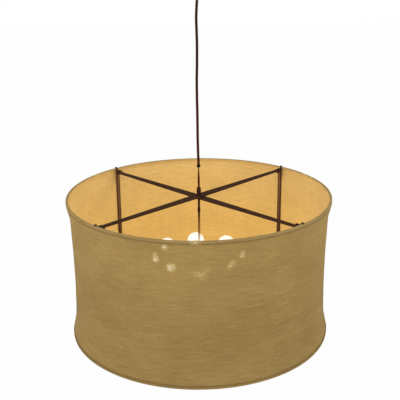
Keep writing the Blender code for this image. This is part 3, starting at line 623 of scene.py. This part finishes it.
def loft(name, rings, finishes, wrap=False, caps=False, bands=None, weld=True, crease=35):
    """A skin through rings of points, each ring closed round. wrap joins the last ring to
    the first, caps closes both ends, and bands gives each step between rings its finish."""
    rings = np.asarray(rings, float)
    count, around = rings.shape[:2]
    steps = count if wrap else count - 1
    ring = np.arange(steps)[:, None]
    side = np.arange(around)[None, :]
    next_ring = (ring + 1) % count
    next_side = (side + 1) % around
    corners = (ring * around + side, ring * around + next_side,
               next_ring * around + next_side, next_ring * around + side)
    faces = np.stack(np.broadcast_arrays(*corners), axis=-1).reshape(-1, 4).tolist()
    chosen = np.repeat(bands if bands is not None else np.zeros(steps, int), around).tolist()
    if caps:
        faces += [list(range(around)), list(range((count - 1) * around, count * around))]
        chosen += [0, 0]
    mesh = bpy.data.meshes.new(name)
    mesh.from_pydata(rings.reshape(-1, 3).tolist(), [], faces)
    mesh.polygons.foreach_set("material_index", chosen)
    faced_out(mesh, weld)
    mesh.set_sharp_from_angle(angle=math.radians(crease))
    for finish in finishes:
        mesh.materials.append(finish)
    return added(name, mesh)


def softened(points, radius, steps=3, closed=False):
    """The same outline with each corner rounded off."""
    path = [Vector(point) for point in points]
    made = []
    for i, corner in enumerate(path):
        if not closed and i in (0, len(path) - 1):
            made.append(tuple(corner))
            continue
        before = path[i - 1] - corner
        after = path[(i + 1) % len(path)] - corner
        start = corner + before.normalized() * min(radius, ROUND_LIMIT * before.length)
        end = corner + after.normalized() * min(radius, ROUND_LIMIT * after.length)
        for k in range(steps + 1):
            t = k / steps
            made.append(tuple((1 - t) ** 2 * start + 2 * t * (1 - t) * corner + t * t * end))
    return made


def lathe(name, profile, finish, steps=40, closed=False, round_off=0.0004):
    """A turned piece. profile is (radius, height) points, closed for a ring or tube."""
    angles = full_turn(steps)
    rings = [round_axis(radius, angles, height)
             for radius, height in softened(profile, round_off, closed=closed)]
    return loft(name, rings, [finish], wrap=closed)


def dress(obj, body, slot, *nodes):
    """Let a piece ride with a body and stand for its CAD nodes; slot is not used."""
    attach(obj, body)
    if nodes:
        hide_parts(*nodes)
    return obj


def reach(node, spot=(0, 0, 0), axis=(0, 0, 1)):
    """How far a CAD node reaches along an axis through spot: lowest, highest and widest."""
    places = np.array([vertex.co for vertex in frame["nodes"][node].data.vertices]) - spot
    along = places @ axis
    across = np.linalg.norm(places - np.outer(along, axis), axis=1)
    return along.min(), along.max(), across.max()


def camera():
    lens = bpy.data.cameras.new("photo_camera")
    lens.sensor_width = SENSOR_WIDTH
    lens.lens = FOCAL_PIXELS / IMAGE_SIDE * SENSOR_WIDTH
    lens.clip_end = FLOOR_SIZE
    eye = added("photo_camera", lens)
    aim = Matrix.Rotation(math.pi / 2 - CAMERA_DIP, 4, "X") @ Matrix.Rotation(CAMERA_ROLL, 4, "Z")
    eye.matrix_world = Matrix.Translation(CAMERA_SPOT) @ aim
    bpy.context.scene.camera = eye


def smooth_route(points, spacing):
    """Points read every so often from a smooth curve through the route's own points."""
    route = [Vector(point) for point in points]
    padded = [2 * route[0] - route[1], *route, 2 * route[-1] - route[-2]]
    read = []
    for before, start, end, after in zip(padded, padded[1:], padded[2:], padded[3:]):
        count = max(1, round((end - start).length / spacing))
        for i in range(count):
            t = i / count
            read.append(0.5 * (2 * start + (end - before) * t
                               + (2 * before - 5 * start + 4 * end - after) * t ** 2
                               + (3 * start - before - 3 * end + after) * t ** 3))
    read.append(route[-1])
    return read


def cord_rings(route, radius_at, sides):
    """Rings round a nearly upright route; radius_at(length run, angles) gives each radius."""
    angles = full_turn(sides)
    rings = []
    run = 0.0
    for i, point in enumerate(route):
        run += (point - route[i - 1]).length if i else 0.0
        ahead = (route[min(i + 1, len(route) - 1)] - route[max(i - 1, 0)]).normalized()
        across = ahead.cross(Vector((0, 1, 0))).normalized()
        over = across.cross(ahead)
        radii = radius_at(run, angles)
        rings.append(np.array(point)
                     + np.outer(radii * np.cos(angles), across)
                     + np.outer(radii * np.sin(angles), over))
    return rings


def braided_cord():
    """The cloth-covered cord, its strands crossing over each other."""
    route = smooth_route(CORD_ROUTE, CORD_SPACING)
    climb = BRAID_STRANDS / (CORD_DIAMETER / 2)

    def braid(run, angles):
        one_way = np.cos(BRAID_STRANDS * angles + climb * run)
        other_way = np.cos(BRAID_STRANDS * angles - climb * run)
        relief = (1 + np.maximum(one_way, other_way)) / 2
        return CORD_DIAMETER / 2 - BRAID_RELIEF * (1 - relief)

    rings = cord_rings(route, braid, CORD_SIDES)
    cord = loft("braided_cord", rings, [BRAID], caps=True, crease=60)
    dress(cord, "cord", "cord_cloth", "pendant_cord")
    length = sum((b - a).length for a, b in zip(route, route[1:]))
    return cord, route, length


def cord_end_bead():
    """The bead that ends the cloth cover: a crimped barrel with a bevel at each end."""
    bottom, top, radius = reach("cord_ferrule")
    middle = (top + bottom) / 2
    shoulder = (top - bottom) / 2 * BEAD_SHOULDER_SHARE
    crimp = (top - bottom) / 2 * BEAD_CRIMP_SHARE
    neck = radius * BEAD_NECK_SHARE
    profile = (
        (0, top), (neck, top), (radius, middle + shoulder), (radius, middle + crimp),
        (radius * BEAD_GROOVE_SHARE, middle), (radius, middle - crimp),
        (radius, middle - shoulder), (neck, bottom), (0, bottom),
    )
    bead = lathe("cord_end_bead", profile, RUBBER)
    return dress(bead, "cord", "black_rubber", "cord_ferrule")


def bare_tail():
    """The bare end of the cord, thickening on its way down to the hub."""
    foot, top, _ = reach("cord_tail")
    route = [Vector((0, 0, height)) for height in np.linspace(top, foot, TAIL_RINGS)]

    def taper(run, angles):
        swell = min(run / (top - foot) / TAIL_SWELL_SHARE, 1)
        gain = TAIL_FOOT_DIAMETER - TAIL_TOP_DIAMETER
        radius = (TAIL_TOP_DIAMETER + gain * swell * swell * (3 - 2 * swell)) / 2
        return radius * (1 - TAIL_RELIEF_SHARE * (1 + np.cos(2 * angles + TAIL_TWIST * run)) / 2)

    tail = loft("bare_tail", cord_rings(route, taper, TAIL_SIDES), [TAIL], caps=True, crease=60)
    dress(tail, "cord", "cord_cloth", "cord_tail")
    return tail, route, top - foot


def cords():
    bead = cord_end_bead()
    cord, route, length = braided_cord()
    tail, path, tail_length = bare_tail()


def column_angles():
    """Angles round the wall, closer together where the cloth crosses an upright."""
    even = full_turn(WALL_COLUMNS)
    near = np.linspace(-CORNER_SPREAD, CORNER_SPREAD, CORNER_COLUMNS)
    corners = CORNER_TURN + full_turn(CORNER_COUNT)
    extra = (corners[:, None] + near[None, :]).ravel()
    both = np.sort(np.concatenate([even, extra]))
    return both[np.append(np.diff(both) > LEAST_COLUMN_STEP, True)]


def off_corner(angles):
    """How far round each angle lies from the nearest upright."""
    sector = 2 * math.pi / CORNER_COUNT
    return (angles - CORNER_TURN + sector / 2) % sector - sector / 2


def soft_pull_in(shares):
    """The pull-in between two uprights, smoothed where its straight stretches meet."""
    at = np.array([0.0, *(share for share, _ in PULL_IN_SHARES), 1.0])
    edge = HEM_SEAT / WAIST_PULL_IN
    pulls = np.array([edge, *(pull for _, pull in PULL_IN_SHARES), edge])
    window = np.linspace(-PULL_IN_BLUR_SHARE, PULL_IN_BLUR_SHARE, 11)
    samples = np.interp(np.clip(shares[:, None] + window[None, :], 0, 1), at, pulls)
    return WAIST_PULL_IN * samples.mean(axis=1)


def pucker(angles, shares):
    """Slack in the cloth: shallow waves that fade out at the hems and the uprights."""
    random = np.random.default_rng(7)
    waves = np.zeros((len(shares), len(angles)))
    for _ in range(PUCKER_WAVES):
        turns = random.integers(*PUCKER_TURNS)
        rise = random.uniform(*PUCKER_RISES)
        phase, start = random.uniform(0, 2 * math.pi, 2)
        waves += (np.sin(turns * angles + phase)[None, :]
                  * np.sin(math.pi * rise * shares + start)[:, None] / math.sqrt(PUCKER_WAVES))
    fade = np.sqrt(np.sin(math.pi * np.clip(shares, 0, 1)))[:, None]
    clear = 1 - np.exp(-(off_corner(angles) / PUCKER_CLEARANCE) ** 2)[None, :]
    return PUCKER_DEPTH * waves * fade * clear


def wall_radii(angles, shares):
    """The cloth's outer radius at each height share (rows) and angle (columns)."""
    inset = np.maximum(HEM_SEAT, soft_pull_in(shares))
    off = off_corner(angles)
    broad = (1 + np.cos(CORNER_COUNT * off)) / 2
    narrow = 1 / (1 + np.exp((np.abs(off) - RIDGE_HALF_WIDTH) / RIDGE_FADE))
    nearness = broad * (1 - RIDGE_SHARE) + narrow * RIDGE_SHARE
    push = np.maximum(0, inset - HELD_AT_UPRIGHT)[:, None] * nearness[None, :]
    return RIM_RADIUS - inset[:, None] + push + pucker(angles, shares)


def linen_wall():
    """The cloth wall, one closed skin of outer and inner faces."""
    angles = column_angles()
    shares = np.linspace(WALL_TOP_DROP, SHADE_HEIGHT - WALL_TOP_DROP, WALL_ROWS) / SHADE_HEIGHT
    heights = RIM_Z - shares * SHADE_HEIGHT
    outer = wall_radii(angles, shares)
    radii = np.concatenate([outer, outer[::-1] - FABRIC_WALL])
    levels = np.concatenate([heights, heights[::-1]])
    bands = [0] * WALL_ROWS + [1] * WALL_ROWS
    wall = loft("linen_wall", round_axis(radii, angles, levels[:, None]),
                [LINEN_OUTSIDE, LINEN_INSIDE_LAMPLIT], wrap=True, bands=bands, weld=False, crease=60)
    dress(wall, "drum", "linen", "shade_fabric")


def hem_outline():
    """The folded band's section, as (radius, height below the rim) points."""
    outer = RIM_RADIUS
    inner = RIM_RADIUS - HEM_DEPTH_IN
    skin = HEM_WALL
    return (
        (outer, -HEM_HEIGHT), (outer, -HEM_HEIGHT * 0.5), (outer, 0), (inner, 0),
        (inner, -HEM_LIP_DEPTH), (inner + skin, -HEM_LIP_DEPTH), (inner + skin, -skin),
        (outer - skin, -skin), (outer - skin, -HEM_HEIGHT),
    )


def hem(name, node, edge_z, up, seed):
    """A band of linen folded over a wire ring, its cut edge a little uneven."""
    outline = softened(hem_outline(), HEM_ROUND, steps=HEM_ROUND_STEPS, closed=True)
    angles = full_turn(HEM_STEPS)
    random = np.random.default_rng(seed)
    wobble = HEM_WOBBLE * sum(np.sin(turns * angles + random.uniform(0, 2 * math.pi))
                              for turns in HEM_WOBBLE_TURNS) / len(HEM_WOBBLE_TURNS)
    rings = []
    for radius, depth in outline:
        lowness = np.clip(-depth / HEM_HEIGHT, 0, 1)
        radii = radius + HEM_WOBBLE_OUT * wobble * lowness - HEM_INSET
        level = edge_z + up * (depth + wobble * lowness ** 4)
        rings.append(round_axis(radii, angles, level))
    per_corner = HEM_ROUND_STEPS + 1
    lip = range(4 * per_corner - 1, 6 * per_corner)
    bands = [1 if i in lip else 0 for i in range(len(outline))]
    band = loft(name, rings, [LINEN_HEM, LINEN_INSIDE_LAMPLIT], wrap=True, bands=bands, crease=50)
    return dress(band, "drum", "linen_hem", node)


def hem_stitches(name, level):
    """A row of short thread stitches round the outer face of a hem."""
    count = round(2 * math.pi * RIM_RADIUS / STITCH_PITCH)
    sides, spans = 6, 4
    run = np.linspace(0, 1, spans + 1)[:, None]
    angles = full_turn(count)[:, None, None] + (run - 0.5) * STITCH_LENGTH / RIM_RADIUS
    swell = np.sin(math.pi * (STITCH_END_SHARE + (1 - 2 * STITCH_END_SHARE) * run))
    across, up = (STITCH_THICKNESS / 2 * swell * turn(full_turn(sides)) for turn in (np.cos, np.sin))
    points = round_axis(RIM_RADIUS - HEM_INSET + across, angles, level + up).reshape(-1, 3)
    stitch = [(first + side, first + (side + 1) % sides, first + sides + (side + 1) % sides,
               first + sides + side)
              for first in range(0, spans * sides, sides) for side in range(sides)]
    stitch += [range(sides), range(spans * sides, (spans + 1) * sides)]
    faces = [[base + corner for corner in face]
             for base in range(0, len(points), (spans + 1) * sides) for face in stitch]
    mesh = bpy.data.meshes.new(name)
    mesh.from_pydata(points.tolist(), [], faces)
    faced_out(mesh, weld=False)
    mesh.materials.append(THREAD)
    return dress(added(name, mesh), "drum", "linen_hem")


def shade():
    top = hem("top_hem_fold", "top_hem", RIM_Z, 1, 3)
    bottom = hem("bottom_hem_fold", "bottom_hem", BASE_Z, -1, 5)
    rows = [hem_stitches("top_hem_stitches", RIM_Z - HEM_HEIGHT + STITCH_FROM_EDGE),
            hem_stitches("bottom_hem_stitches", BASE_Z + HEM_HEIGHT - STITCH_FROM_EDGE)]
    linen_wall()


def turned_on_axis(node, form, outline, finish=BRONZE, body="drum", slot="dark_bronze",
                   **shape):
    dress(lathe(f"{node}_{form}", outline, finish, **shape), body, slot, node)


def upright_axis(node):
    """The place under the ceiling that a node's upright axis starts from."""
    lowest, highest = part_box(node)
    return ((lowest.x + highest.x) / 2, (lowest.y + highest.y) / 2, 0)


def hexagon(node, bore, centre=(0, 0, 0), turn=0, finish=BRONZE, body="drum",
            slot="dark_bronze"):
    """A hexagon nut with its corners chamfered, where the CAD nut is."""
    bottom, top, corner = reach(node, centre)
    flat = corner * math.cos(math.pi / 6)
    chamfer = (top - bottom) * NUT_CHAMFER_SHARE
    inner = flat * NUT_FLAT_SHARE
    angles = full_turn(72)
    side = (angles + math.pi / 6) % (math.pi / 3) - math.pi / 6
    hexagon_radii = flat / np.cos(side)
    rows = ((bore, bottom), (inner, bottom), (corner, bottom + chamfer),
            (corner, top - chamfer), (inner, top), (bore, top))
    rings = [round_axis(np.minimum(radius, hexagon_radii), angles, height)
             for radius, height in softened(rows, NUT_ROUND, steps=2, closed=True)]
    nut = loft(f"{node}_hex", rings, [finish], wrap=True, crease=30)
    nut.data.transform(Matrix.Translation(centre) @ Matrix.Rotation(turn, 4, "Z"))
    dress(nut, body, slot, node)


def slotted_screw(node, centre, head_up, turn, body):
    """A dome-headed screw with a cross recess in its head."""
    bottom, top, head = reach(node, centre)
    end = bottom - top
    crown = softened([(0, 0), *((head * out, -down) for out, down in SCREW_CROWN),
                      (head, -SCREW_HEAD)], SCREW_CROWN_ROUND)
    profile = [*crown, (SCREW_SHANK, -SCREW_HEAD), (SCREW_SHANK, end + SCREW_SHANK - SCREW_TIP),
               (SCREW_TIP, end), (0, end)]
    screw = lathe(f"{node}_dome", profile, BRONZE, round_off=SCREW_ROUND)
    for quarter in (0, 1):
        recess = bpy.data.meshes.new("recess")
        cutter = bmesh.new()
        bmesh.ops.create_cube(cutter, size=1, matrix=Matrix.Rotation(quarter * math.pi / 2, 4, "Z")
                              @ Matrix.Diagonal((head * RECESS_SHARE, RECESS_WIDTH,
                                                 RECESS_HEIGHT, 1)))
        cutter.to_mesh(recess)
        cutter.free()
        knife = added("recess", recess)
        cut = screw.modifiers.new("Recess", "BOOLEAN")
        cut.operation = "DIFFERENCE"
        cut.object = knife
        bpy.context.view_layer.update()
        graph = bpy.context.evaluated_depsgraph_get()
        made = bpy.data.meshes.new_from_object(screw.evaluated_get(graph))
        screw.modifiers.clear()
        screw.data = made
        bpy.data.objects.remove(knife)
    screw.data.set_sharp_from_angle(angle=math.radians(35))
    stand = Matrix.Translation(Vector(centre) + Vector((0, 0, top if head_up else bottom)))
    if not head_up:
        stand = stand @ Matrix.Rotation(math.pi, 4, "X")
    screw.data.transform(stand @ Matrix.Rotation(turn, 4, "Z"))
    dress(screw, body, "dark_bronze", node)


def hub():
    """Collar, stem and coupling on the drum's axis, and the nut under the straps."""
    bottom, top, radius = reach("hub_collar")
    bore = TAIL_FOOT_DIAMETER / 2 + TAIL_CLEARANCE
    floor = top - COLLAR_SEAT_DEPTH
    roof = bottom + COLLAR_STEM_DEPTH
    foot = bottom + COLLAR_FOOT
    neck = radius * COLLAR_FOOT_SHARE
    collar = (
        (0, floor), (bore, floor), (bore, top), (radius * COLLAR_TOP_SHARE, top),
        (radius, top - COLLAR_LIP),
        *groove(radius, top - COLLAR_GROOVE_DROP, COLLAR_GROOVE_WIDTH, COLLAR_BEVEL,
                COLLAR_GROOVE_SHARE),
        (radius, foot), (neck, foot - COLLAR_BEVEL), (neck, bottom), (STEM_BORE, bottom),
        (STEM_BORE, roof), (0, roof),
    )
    turned_on_axis("hub_collar", "turned", collar)
    hexagon("hub_nut", STEM_BORE)
    for name in ("stem_upper", "stem_lower"):
        low, high, width = reach(name)
        rod = ((0, high), (width, high), (width, low), (0, low))
        turned_on_axis(name, "rod", rod, BRONZE_LAMPLIT, steps=32)
    low, high, width = reach("stem_coupling")
    sleeve = ((STEM_BORE, high), (width, high),
              *groove(width, high - COUPLING_BAND, high - low - 2 * COUPLING_BAND,
                      COUPLING_BEVEL, COUPLING_GROOVE_SHARE),
              (width, low), (STEM_BORE, low))
    turned_on_axis("stem_coupling", "sleeve", sleeve, closed=True)


def cluster():
    """The body the holders branch from, with its cap above and finial below."""
    low, high, radius = reach("cluster_body")
    floor = high - CLUSTER_STEM_DEPTH
    stud = FINIAL_STUD + FINIAL_STUD_GAP
    roof = low + FINIAL_STUD_LENGTH + FINIAL_STUD_GAP
    face = radius - CLUSTER_EDGE_IN
    middle = (low + high) / 2
    body = (
        (0, floor), (STEM_BORE, floor), (STEM_BORE, high), (face, high),
        (radius, high - CLUSTER_EDGE_DOWN), (radius, middle + CLUSTER_LINE_HALF),
        (radius - CLUSTER_LINE_DEPTH, middle), (radius, middle - CLUSTER_LINE_HALF),
        (radius, low + CLUSTER_EDGE_DOWN), (face, low), (stud, low), (stud, roof), (0, roof),
    )
    turned_on_axis("cluster_body", "turned", body, steps=64,
                   round_off=CLUSTER_ROUND)
    low, high, radius = reach("cluster_cap")
    cap = [(STEM_BORE, high),
           *((radius * out, high - (high - low) * down) for out, down in CAP_SHARES),
           (radius, low), (STEM_BORE, low)]
    turned_on_axis("cluster_cap", "turned", cap, steps=56, closed=True,
                   round_off=CAP_ROUND)
    low, high, radius = reach("finial")
    seat = high - FINIAL_STUD_LENGTH
    profile = [(0, high), (FINIAL_STUD, high), (FINIAL_STUD, seat), (radius, seat),
               (radius, seat - FINIAL_FLANGE),
               *((radius * out, seat - down) for out, down in FINIAL_NECK),
               *arc((0, low + radius), radius, radius, FINIAL_BALL_FROM, -math.pi / 2, 14)[:-1],
               (0, low)]
    turned_on_axis("finial", "turned", profile, round_off=FINE_ROUND)


def lamp_stand(number):
    """Matrix that lays a piece built along +Z, from z 0 at the holder's mouth, in place."""
    joint = JOINTS[f"unscrew_{number}"]
    outward = Vector(joint["axis"]).to_track_quat("Z", "Y").to_matrix().to_4x4()
    return Matrix.Translation(joint["pos_m"]) @ outward


def lamp_reach(node, number):
    joint = JOINTS[f"unscrew_{number}"]
    return reach(node, joint["pos_m"], joint["axis"])


def turned_on_stand(number, name, outline, finish, body, slot, *nodes, **shape):
    piece = lathe(f"{name}_{number}", outline, finish, **shape)
    piece.data.transform(lamp_stand(number))
    dress(piece, body, slot, *nodes)


def holder(number):
    """A moulded shell with a grip ring at its mouth, on its short bronze arm."""
    back, mouth, radius = lamp_reach(f"socket_{number}", number)
    shell_back = mouth - HOLDER_LENGTH
    floor = mouth - HOLDER_BORE_DEPTH
    low = radius * HOLDER_BODY_SHARE
    high = radius * HOLDER_RIDGE_SHARE
    ring = mouth - HOLDER_RING
    shell = [(0, floor), (HOLDER_BORE, floor), (HOLDER_BORE, mouth), (radius - HOLDER_LIP_IN, mouth),
             (radius, mouth - HOLDER_LIP_DOWN), (radius, ring), (low, ring - HOLDER_BEVEL)]
    for step in range(HOLDER_RIDGES):
        ridge = mouth - HOLDER_RIDGE_FROM - step * HOLDER_RIDGE_PITCH
        foot = ridge - HOLDER_RIDGE_WIDTH
        shell += [(low, ridge + HOLDER_BEVEL), (high, ridge), (high, foot),
                  (low, foot - HOLDER_BEVEL)]
    shell += [(low, shell_back + HOLDER_TAPER), (radius * HOLDER_BACK_SHARE, shell_back),
              (0, shell_back)]
    turned_on_stand(number, "holder_shell", shell, HOLDER, "drum", "holder_plastic",
                    f"socket_{number}")
    start = shell_back - ARM_GAP
    flange = ARM_RADIUS * ARM_FLANGE_SHARE
    tube = ((0, start), (flange, start), (flange, start - ARM_FLANGE),
            (ARM_RADIUS, start - ARM_FLANGE - ARM_BEVEL), (ARM_RADIUS, back), (0, back))
    turned_on_stand(number, "holder_arm", tube, BRONZE, "drum", "dark_bronze", steps=32,
                    round_off=FINE_ROUND)


def lamp(number):
    """A lit opal globe on a screw base."""
    tip, top, radius = lamp_reach(f"bulb_{number}", number)
    neck_angle = math.asin(GLOBE_NECK / radius) - math.pi / 2
    wide, narrow = (GLOBE_NECK * share for share in GLOBE_NECK_SHARES)
    globe = [(0, top), *arc((0, top - radius), radius, radius, math.pi / 2, neck_angle, 34)[1:],
             (wide, GLOBE_SEAT + GLOBE_NECK_RISE), (narrow, GLOBE_SEAT), (0, GLOBE_SEAT)]
    turned_on_stand(number, "lamp_globe", globe, OPAL, f"lamp_{number}", "opal_glass",
                    f"bulb_{number}", steps=56, round_off=GLOBE_ROUND)
    seat = GLOBE_SEAT - BASE_GAP
    threads = [(0, seat), (BASE_RADIUS, seat)]
    for turn in range(THREAD_TURNS):
        level = -THREAD_FROM - turn * THREAD_PITCH
        threads += [(THREAD_ROOT, level + THREAD_HALF_RISE), (BASE_RADIUS, level - THREAD_HALF_RISE)]
    shoulder, contact = CONTACT_RADII
    threads += [(THREAD_ROOT, -BASE_LENGTH), (shoulder, tip + CONTACT_RISE), (contact, tip), (0, tip)]
    turned_on_stand(number, "lamp_base", threads, LAMP_METAL, f"lamp_{number}", "zinc_steel",
                    steps=32, round_off=FINE_ROUND)


def canopy():
    """The pressed shell against the ceiling, with its two screws."""
    low, high, radius = reach("canopy")
    rim = low + CANOPY_FALL
    centre = (radius - CANOPY_SHOULDER, rim)
    outer = arc(centre, CANOPY_SHOULDER, -CANOPY_FALL, 0, math.pi / 2, 12)
    inner = arc(centre, CANOPY_SHOULDER - CANOPY_WALL, CANOPY_WALL - CANOPY_FALL, math.pi / 2, 0, 12)
    edge, first, last = (rim + rise for rise in CANOPY_GROOVE_RISES)
    floor = radius - CANOPY_GROOVE_DEPTH
    profile = [(radius, high), (radius, edge), (floor, first), (floor, last), *outer,
               (CANOPY_HOLE + CANOPY_LIP, low), (CANOPY_HOLE, low), (CANOPY_HOLE, low + CANOPY_WALL),
               *inner, (radius - CANOPY_WALL, high)]
    turned_on_axis("canopy", "shell", profile, BRONZE, "ceiling_fitting", steps=96,
                   closed=True)
    for side in ("left", "right"):
        node = f"canopy_screw_{side}"
        slotted_screw(node, upright_axis(node), False, CANOPY_SCREW_TURN,
                      "ceiling_fitting")


def cord_grip():
    """The grip and its nut, and the bushing that the cord bends in."""
    low, high, radius = reach("cord_grip")
    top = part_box("canopy")[0].z - GRIP_GAP
    pivot = JOINTS["swing_side"]["pos_m"][2]
    lip_angle = -math.asin(GRIP_LIP / GRIP_CUP)
    grip = [(0, high), (GRIP_NECK, high), (GRIP_NECK, top), (radius - GRIP_EDGE, top),
            (radius, top - GRIP_EDGE),
            *groove(radius, top - GRIP_GROOVE_DROP, GRIP_GROOVE_WIDTH, GRIP_BEVEL,
                    GRIP_GROOVE_SHARE),
            (radius, low),
            *arc((0, pivot), GRIP_CUP, GRIP_CUP, lip_angle, math.pi / 2, 14)[:-1],
            (0, pivot + GRIP_CUP)]
    turned_on_axis("cord_grip", "turned", grip, BRONZE, "ceiling_fitting", steps=64)
    hexagon("grip_nut", CANOPY_HOLE, finish=ZINC, body="ceiling_fitting", slot="zinc_steel")
    low, high, radius = reach("cord_bushing", (0, 0, pivot))
    ball = arc((0, pivot), radius, radius, math.pi / 2, -math.pi / 2, 24)
    turned_on_axis("cord_bushing", "ball", ball, RUBBER, "bushing", "black_rubber")


def rim_fasteners():
    """The screw and nut that clamp clip, strap and upright at each corner."""
    for index, corner in enumerate(CORNERS):
        centre = upright_axis(f"corner_screw_{corner}")
        slotted_screw(f"corner_screw_{corner}", centre, True, CORNER_SCREW_TURN + index,
                      "drum")
        hexagon(f"corner_nut_{corner}", NUT_BORE, centre, CORNER_TURN + index * math.pi / 2)


def eased(node, finish, width):
    """A CAD node kept as it is, with its edges rounded by a modifier and a new finish."""
    obj = frame["nodes"][node]
    weld = obj.modifiers.new("Weld", "WELD")
    weld.merge_threshold = SAME_CAD_SPOT
    edge = obj.modifiers.new("Edges", "BEVEL")
    edge.width = width
    edge.segments = 3
    edge.limit_method = "ANGLE"
    edge.angle_limit = math.radians(40)
    obj.modifiers.new("Normals", "WEIGHTED_NORMAL")
    repaint(node, finish)


def repaint(node, finish):
    obj = frame["nodes"][node]
    obj.data.materials.clear()
    obj.data.materials.append(finish)


def carried_over():
    """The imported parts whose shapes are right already."""
    for name in ("cross_strap_upper", "cross_strap_lower"):
        eased(name, BRONZE, STRAP_EDGE)
    for corner in CORNERS:
        eased(f"upright_{corner}", BRONZE_PAINTED_HIGHLIGHT, STRAP_EDGE)
        eased(f"rim_clip_{corner}", BRONZE_SATIN, CLIP_EDGE)
    eased("mounting_crossbar", ZINC, CROSSBAR_EDGE)
    for name in ("top_ring", "bottom_ring"):
        repaint(name, RING_METAL)


def floor():
    """A wide pale floor, white to the camera, that still takes the object's shadow."""
    mesh = bpy.data.meshes.new("floor")
    signs = ((-1, -1), (1, -1), (1, 1), (-1, 1))
    corners = [(x * FLOOR_SIZE / 2, y * FLOOR_SIZE / 2, FLOOR_Z) for x, y in signs]
    mesh.from_pydata(corners, [], [(0, 1, 2, 3)])
    finish = Finish("floor_white", base_color=(FLOOR_WHITE, FLOOR_WHITE, FLOOR_WHITE, 1.0),
                    roughness=1.0)
    shown = finish.times(seen_directly(finish.tree), FLOOR_SHOWN)
    mixed(finish.tree, shown, finish.shader, finish.node("ShaderNodeEmission"), "Material Output")
    mesh.materials.append(finish.material)
    added("floor", mesh)


def mixed(tree, share, first, second, output):
    """Send a blend of two shaders to the tree's output."""
    mix = tree.nodes.new("ShaderNodeMixShader")
    for socket, source in zip(mix.inputs, (share, first.outputs[0], second.outputs[0])):
        tree.links.new(source, socket)
    tree.links.new(mix.outputs[0], tree.nodes[output].inputs["Surface"])


def seen_directly(tree):
    """1 for a ray from the camera, a mirror or glass, and 0 for one that carries light."""
    path = tree.nodes.new("ShaderNodeLightPath")
    socket = path.outputs["Is Camera Ray"]
    for name in ("Is Glossy Ray", "Is Transmission Ray"):
        larger = tree.nodes.new("ShaderNodeMath")
        larger.operation = "MAXIMUM"
        tree.links.new(socket, larger.inputs[0])
        tree.links.new(path.outputs[name], larger.inputs[1])
        socket = larger.outputs[0]
    return socket


def world():
    """White all round, a little less bright as a light than as a background."""
    sky = bpy.data.worlds.new("studio")
    bpy.context.scene.world = sky
    sky.use_nodes = True
    tree = sky.node_tree
    light = tree.nodes["Background"]
    light.inputs["Color"].default_value = (1.0, 0.99, 0.97, 1.0)
    light.inputs["Strength"].default_value = SKY_LIGHT
    shown = tree.nodes.new("ShaderNodeBackground")
    shown.inputs["Color"].default_value = (1.0, 1.0, 1.0, 1.0)
    mixed(tree, seen_directly(tree), light, shown, "World Output")


def studio():
    """The floor, the world and three soft lamps that the camera doesn't see."""
    floor()
    world()
    middle = Vector((0, 0, (RIM_Z + BASE_Z) / 2))
    for name, spot, side, watts in SOFT_LAMPS:
        light = bpy.data.lights.new(name, "AREA")
        light.shape = "SQUARE"
        light.size = side
        light.energy = watts
        lamp_object = added(name, light)
        facing = (middle - Vector(spot)).to_track_quat("-Z", "Y").to_matrix().to_4x4()
        lamp_object.matrix_world = Matrix.Translation(spot) @ facing
        lamp_object.visible_camera = False
    bpy.context.scene.view_settings.view_transform = "Standard"


camera()
cords()
shade()
hub()
cluster()
for number in range(1, 9):
    holder(number)
    lamp(number)
canopy()
cord_grip()
rim_fasteners()
carried_over()
studio()
